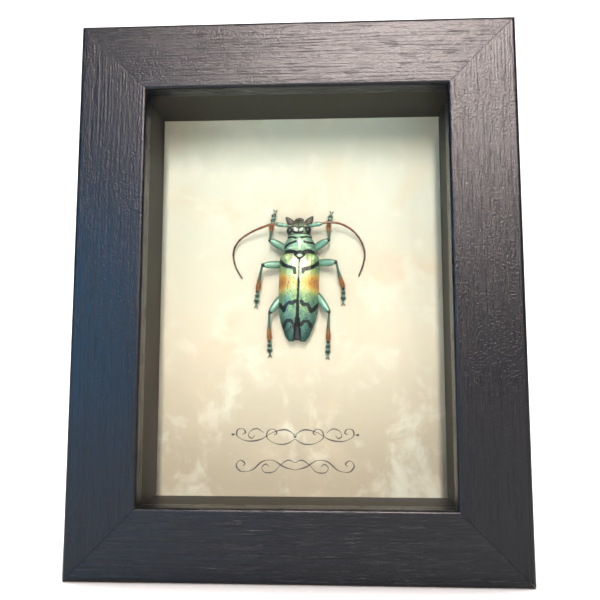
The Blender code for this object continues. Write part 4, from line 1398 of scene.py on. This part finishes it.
@dataclass
class Legs:
    """The six legs: thigh, shin with its fringe, lobed foot and claws."""

    place: Matrix
    joints: dict[str, tuple[Place, Place, Place, Place]] = field(default_factory=lambda: {
        "fore_left": ((-1.9, 12.7, 2.2), (-7.80, 15.70, 4.4), (-7.53, 20.10, 1.8), (-6.70, 24.20, 0.8)),
        "fore_right": ((1.9, 12.7, 2.2), (7.50, 15.70, 4.4), (7.45, 19.95, 1.8), (8.25, 23.60, 0.8)),
        "mid_left": ((-2.4, 9.7, 2.2), (-9.55, 9.05, 5.0), (-11.10, 2.95, 1.8), (-11.60, -1.30, 0.8)),
        "mid_right": ((2.4, 9.8, 2.2), (9.38, 9.70, 5.0), (11.20, 3.65, 1.8), (11.20, -0.70, 0.8)),
        "hind_left": ((-3.0, 3.4, 2.2), (-7.70, -3.28, 4.8), (-7.95, -9.95, 1.8), (-7.90, -14.10, 0.8)),
        "hind_right": ((3.0, 3.6, 2.2), (7.55, -3.18, 4.8), (7.25, -10.15, 1.8), (7.10, -14.60, 0.8)),
    })
    thigh: Table = ((0.00, 0.90), (0.12, 1.25), (0.35, 1.80), (0.62, 2.00), (0.85, 1.62), (1.00, 0.85))
    shin: Table = ((0.00, 0.70), (0.08, 0.62), (0.45, 0.72), (0.78, 1.12), (0.95, 1.20), (1.00, 0.90))
    foot: Table = (
        (0.00, 0.62), (0.14, 1.10), (0.22, 0.78), (0.40, 1.28), (0.48, 0.88), (0.70, 1.50),
        (0.80, 0.66), (1.00, 0.52),
    )
    claw: Line = ((-0.22, 0.12), (0.22, 0.34), (0.46, 0.62))
    claw_widths: Table = ((0.0, 0.30), (0.5, 0.26), (1.0, 0.06))
    overlap: float = 0.35
    bristles: Bristles = field(default_factory=Bristles)

    def leg(self, name: str, hip: Vector, knee: Vector, ankle: Vector, claws: Vector,
            material: bpy.types.Material) -> bpy.types.Object:
        """Build one leg from where its joints are."""
        piece = Piece()
        rings = tube([hip, knee], self.thigh, 28, 60, 0.92)
        along = np.linspace(0, 1, 60)[:, None]
        around = np.sin(2 * math.pi * (np.arange(28) + 0.5) / 28)[None, :]
        # Painted highlight and shade: the thigh's upper side gets a lighter tone and a pale streak, and
        # its underside a darker tone, as if lit from above.
        piece.loft(rings, tone=0.30 - 0.16 * around + 0.15 * hill(along, 0.0, 0.3),
                   pale=0.22 * rise(around, 0.55, 1.0) * hill(along, 0.62, 0.26), flush=0.0,
                   mark=np.minimum(4 * (0.955 - along), 1.5) + 0.0 * around, hair=0.02)
        shin = (ankle - knee).normalized()
        bow = (knee + ankle) / 2 + shin.cross(Vector((0, 0, 1))) * 0.12
        rings = tube([knee - shin * self.overlap, bow, ankle], self.shin, 24, 60, 0.9)
        piece.loft(rings, tone=0.42 + 0.42 * rise(along, 0.35, 0.85) + 0.0 * around[:, :24],
                   pale=0.0, flush=0.9 * rise(along, 0.45, 0.9), hair=rise(along, 0.15, 0.7),
                   mark=np.minimum(np.abs(along - 0.02) * 5 - 0.25, 1.5))
        foot = (claws - ankle).normalized()
        rings = tube([ankle - foot * self.overlap, claws], self.foot, 24, 90, 0.62)
        at = np.linspace(0, 1, 90)[:, None]
        joints = np.min([np.abs(at - place) for place in (0.22, 0.48, 0.80)], axis=0)
        spot = np.minimum.reduce([np.hypot((at - place) * 4.3, around[:, :24] * 0 + np.abs(
            np.cos(2 * math.pi * (np.arange(24) + 0.5) / 24))[None, :] * 0.6) - 0.42
            for place in (0.14, 0.37, 0.66)])
        piece.loft(rings, tone=0.10 + 0.30 * hill(joints, 0.0, 0.04), pale=0.26, flush=0.0, hair=0.35,
                   mark=np.minimum(spot, joints * 4.0 - 0.02))
        across = foot.cross(Vector((0, 0, 1))).normalized()
        for side in (-1, 1):
            line = [claws + foot * ahead + across * side * out for ahead, out in self.claw]
            piece.loft(tube(line, self.claw_widths, 12, 16), tone=1.0, mark=1.0, flush=0.0, pale=0.0,
                       hair=0.0, pull=0.5)
        return piece.finish(f"leg_{name}", [material], self.place)

    def build(self) -> None:
        """Build the legs, then grow the bristles on them."""
        coat = Shell(stops=((0.0, tint(132, 168, 148)), (0.25, tint(92, 142, 122)),
                            (0.45, tint(62, 102, 92)), (0.65, tint(104, 96, 76)),
                            (0.85, tint(140, 86, 50)), (1.0, tint(44, 28, 20))),
                     flush=((0.0, tint(120, 96, 66)), (0.6, tint(150, 92, 48)), (1.0, tint(130, 74, 36))),
                     ragged_mm=0.14, scale_mm=0.20, speckle=0.45)
        hair = Shell(stops=((0.0, tint(150, 84, 40)), (1.0, tint(90, 48, 26))), roughness=0.5,
                     metallic=0.0, coat=0.0).make("bristle_horn")
        tree = self.bristles.tree()
        for name, spots in self.joints.items():
            leg = self.leg(name, *(Vector(spot) for spot in spots), coat.make(f"leg_{name}_shell"))
            fringe = self.bristles.grow(tree, leg, f"leg_{name}_bristles", hair)
            claim(leg, "insect_shell", "beetle")
            claim(fringe, "insect_shell", "beetle")


@dataclass
class Feelers:
    """The two feelers: a stout first joint and a long jointed lash."""

    place: Matrix
    scapes: dict[str, tuple[Place, Place]] = field(default_factory=lambda: {
        "left": ((-2.5, 19.35, 4.1), (-6.30, 19.98, 4.2)),
        "right": ((2.0, 19.30, 4.1), (5.85, 20.02, 4.2)),
    })
    lashes: dict[str, Sequence[Place]] = field(default_factory=lambda: {
        "left": (
            (-6.20, 19.98, 4.2), (-7.6, 19.85, 4.1), (-9.34, 19.36, 3.9), (-12.27, 18.31, 3.2),
            (-15.22, 16.78, 2.2), (-16.85, 15.10, 1.7), (-17.65, 12.95, 1.3), (-17.42, 10.46, 1.0),
            (-16.60, 8.30, 0.8), (-15.26, 6.17, 0.7)),
        "right": (
            (5.75, 20.02, 4.2), (7.2, 20.30, 4.1), (10.05, 20.14, 3.7), (12.66, 19.10, 2.9),
            (14.71, 17.52, 2.1), (16.30, 15.05, 1.5), (16.92, 12.53, 1.2), (16.49, 9.80, 0.9),
            (15.32, 6.64, 0.7)),
    })
    scape_widths: Table = ((0.00, 0.70), (0.25, 0.85), (0.62, 1.18), (0.88, 1.10), (1.00, 0.62))
    root_width: float = 0.64
    tip_width: float = 0.36
    joints: int = 10
    swell: float = 0.30
    steps: int = 120
    rings: int = 400
    sides: int = 14

    def tree(self) -> bpy.types.NodeTree:
        """Build the node group that runs a jointed lash along a curve."""
        graph = Growth("lash", Root="Float", Tip="Float", Joints="Int", Swell="Float")
        line = graph.node("GeometryNodeResampleCurve", None, {
            "Curve": graph.given["Geometry"], "Count": self.rings})
        along = Value(graph, graph.node("GeometryNodeSplineParameter").outputs["Factor"])
        root, tip = graph.number("Root"), graph.number("Tip")
        steps = along * graph.number("Joints")
        beat = steps.work("FRACT", steps)
        bulge = (beat ** 6.0) * graph.number("Swell")
        width = (root + (tip - root) * along) * (1 + bulge)
        stored = graph.node("GeometryNodeStoreNamedAttribute", {"data_type": "FLOAT", "domain": "POINT"}, {
            "Geometry": line.outputs[0], "Name": "tone", "Value": along * 0.85 + (beat ** 5.0) * 0.3})
        ring = graph.node("GeometryNodeCurvePrimitiveCircle", None, {
            "Resolution": self.sides, "Radius": 0.5})
        skin = graph.node("GeometryNodeCurveToMesh", None, {
            "Curve": stored.outputs[0], "Profile Curve": ring.outputs[0], "Scale": width,
            "Fill Caps": True})
        graph.close(skin.outputs[0])
        return graph.tree

    def curve(self, points: Sequence[Place]) -> bpy.types.Curve:
        """A smooth open curve through points, in millimetres."""
        route = [(i / (len(points) - 1), *point) for i, point in enumerate(points)]
        spots = [read(route, i / self.steps) for i in range(self.steps + 1)]
        data = bpy.data.curves.new("lash_line", "CURVE")
        data.dimensions = "3D"
        spline = data.splines.new("POLY")
        spline.points.add(len(spots) - 1)
        spline.points.foreach_set("co", [v for spot in spots for v in (*spot, 1.0)])
        return data

    def build(self) -> None:
        """Build both feelers."""
        horn = Shell(stops=((0.0, tint(142, 84, 46)), (0.45, tint(116, 66, 38)),
                            (0.8, tint(64, 38, 26)), (1.0, tint(34, 22, 18))),
                     roughness=0.4, metallic=0.0, ragged_mm=0.0, relief_mm=0.01, speckle=0.3, pit=0.1)
        coat = Shell(stops=((0.0, tint(60, 42, 30)), (0.35, tint(84, 140, 124)),
                            (0.7, tint(120, 176, 156)), (1.0, tint(90, 74, 52))), ragged_mm=0.1)
        tree = self.tree()
        for side in ("left", "right"):
            rings = tube(self.scapes[side], self.scape_widths, 24, 50)
            along = np.linspace(0, 1, len(rings))[:, None]
            skin_over(rings, f"scape_{side}", coat.make(f"scape_{side}_shell"), self.place,
                      tone=0.1 + 0.75 * rise(along, 0.05, 0.6), pale=0.3 * hill(along, 0.7, 0.2))
            lash = grown(tree, self.curve(self.lashes[side]), {
                "Root": self.root_width, "Tip": self.tip_width, "Joints": self.joints,
                "Swell": self.swell, "Material": horn.make(f"lash_{side}_horn")}, f"lash_{side}")
            unmarked = [1.0] * len(lash.data.vertices)
            lash.data.attributes.new("mark", "FLOAT", "POINT").data.foreach_set("value", unmarked)
            lash.data.transform(self.place)
            lash.data.shade_smooth()
            face_out(lash.data)
            claim(lash, "insect_shell", "beetle")


@dataclass
class Fittings:
    """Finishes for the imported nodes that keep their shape."""

    nodes: dict[str, bpy.types.Object]

    def dress(self, finish: Finish, *names: str) -> None:
        """Give each named node its own material of a finish."""
        for name in names:
            data = self.nodes[name].data
            data.materials.clear()
            data.materials.append(finish.make(name + "_finish"))
            log.info("%s: packed shape", name)

    def build(self) -> None:
        """Dress the glass, the liner, the boards and the steel."""
        self.dress(ClearGlass(), "glass")
        liner = Board(tint(50, 46, 42), tint(84, 76, 68), roughness=0.6)
        self.dress(liner, "spacer_top", "spacer_bottom", "spacer_left", "spacer_right")
        self.dress(Board(tint(168, 162, 150), tint(132, 126, 116), 0.7), "mount_board")
        self.dress(Board(tint(126, 92, 62), tint(84, 56, 36), 0.45, 0.55, 0.7, 0.03), "backing_board")
        self.dress(Steel(), "point_top", "point_bottom", "point_left_upper", "point_left_lower",
                   "point_right_upper", "point_right_lower", "hanger", "hanger_nail_left",
                   "hanger_nail_right")


@dataclass
class Studio:
    """Camera, lamps and the white sweep that the box stands on."""

    eye: Place = (0.007544, -0.160779, 0.045788)
    aim: Place = (-0.000117, 0.0068, 0.064034)
    lens: float = 38.53
    spread: float = 4.0
    floor_end: float = 0.25
    bend: float = 0.35
    backdrop: float = 1.6
    room: float = 0.10

    def camera(self) -> None:
        """Set the camera at the photograph's place."""
        data = bpy.data.cameras.new("view")
        data.lens, data.sensor_width, data.clip_start = self.lens, SENSOR_MM, MM
        item = bpy.data.objects.new("view", data)
        bpy.context.scene.collection.objects.link(item)
        item.location = self.eye
        item.rotation_euler = (Vector(self.aim) - Vector(self.eye)).to_track_quat("-Z", "Y").to_euler()
        bpy.context.scene.camera = item

    @staticmethod
    def lamp(name: str, place: Place, aim: Place, size: Point, power: float, colour: Colour,
             use: Light) -> None:
        """Add a soft box.

        Args:
            name: Its name.
            place: Where it hangs.
            aim: What it faces.
            size: Its width and height in metres.
            power: Its power in watts.
            colour: Its light.
            use: Whether it lights or is mirrored.
        """
        data = bpy.data.lights.new(name, "AREA")
        data.shape, data.energy, data.color = "RECTANGLE", power, colour[:3]
        data.size, data.size_y = size
        item = bpy.data.objects.new(name, data)
        bpy.context.scene.collection.objects.link(item)
        item.visible_glossy = use is Light.GLINT
        item.visible_diffuse = use is Light.WASH
        item.location = place
        item.rotation_euler = (Vector(aim) - Vector(place)).to_track_quat("-Z", "Y").to_euler()

    def sweep(self) -> None:
        """Build the floor and its rise into a backdrop as one sheet."""
        profile = [(-self.spread, 0.0), (self.floor_end, 0.0)]
        profile += [(self.floor_end + self.bend * math.sin(t), self.bend - self.bend * math.cos(t))
                    for t in np.linspace(0, math.pi / 2, 14)[1:]]
        profile.append((self.floor_end + self.bend, self.backdrop))
        piece = Piece()
        piece.points = [(x, y, z) for y, z in profile for x in (-self.spread, self.spread)]
        piece.faces = [(2 * k, 2 * k + 1, 2 * k + 3, 2 * k + 2) for k in range(len(profile) - 1)]
        piece.slots = [0] * len(piece.faces)
        item = piece.finish("sweep", [Sweep().make("sweep_paper")], Matrix.Identity(4))
        item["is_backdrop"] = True

    def build(self) -> None:
        """Set up the camera, the lamps and the sweep."""
        self.camera()
        self.sweep()
        middle = (0.0, 0.0, 0.065)
        warm, cool = tint(255, 238, 232), tint(84, 184, 250)
        white = tint(255, 255, 255)
        for lamp in (
            ("front", (0.01, -0.85, 0.35), middle, (0.06, 0.34), 7.4, warm, Light.WASH),
            ("left", (-0.30, -0.85, 0.31), middle, (0.20, 0.30), 0.3, warm, Light.WASH),
            ("right", (0.30, -0.85, 0.31), middle, (0.20, 0.30), 0.8, warm, Light.WASH),
            ("window_top", (0.06, -0.85, 0.63), middle, (0.32, 0.24), 26.0, warm, Light.GLINT),
            ("window_right", (0.34, -0.85, 0.54), middle, (0.24, 0.36), 10.0, warm, Light.GLINT),
            ("low_left", (-0.37, -0.55, 0.12), middle, (0.30, 0.24), 2.8, cool, Light.GLINT),
            ("overhead", (0.0, 0.0, 0.8), (0.0, 0.0, 0.0), (0.9, 0.12), 7.4, white, Light.WASH),
            ("sweep_light", (0.0, 0.18, 0.95), (0.0, 0.6, 0.25), (1.6, 0.3), 8.6, white, Light.WASH),
        ):
            self.lamp(*lamp)
        world = bpy.data.worlds.new("room")
        world.use_nodes = True
        background = world.node_tree.nodes["Background"].inputs
        background["Color"].default_value = tint(196, 224, 234)
        background["Strength"].default_value = self.room
        bpy.context.scene.world = world
        bpy.context.scene.view_settings.view_transform = "Standard"


def main() -> None:
    """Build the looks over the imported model."""
    logging.basicConfig(level=logging.INFO, format="%(message)s")
    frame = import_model()
    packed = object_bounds()
    low, high = (Vector(corner) for corner in packed)
    card_low, card_high = (Vector(corner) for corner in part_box("card"))
    middle = (card_low.z + card_high.z) / 2
    stand = Matrix.Translation((0, card_low.y, middle)) @ Matrix.Rotation(math.radians(90), 4, "X")
    place = stand @ Matrix.Scale(MM, 4)
    BoxFrame((high.x - low.x) / MM, (high.z - low.z) / MM, low.y / MM).build()
    SpecimenCard(card_low, card_high, middle / MM).build()
    for part in (WingCases, Trunk, HeadPiece, Legs, Feelers):
        part(place).build()
    Fittings(frame["nodes"]).build()
    Studio().build()


if __name__ == "__main__":
    main()
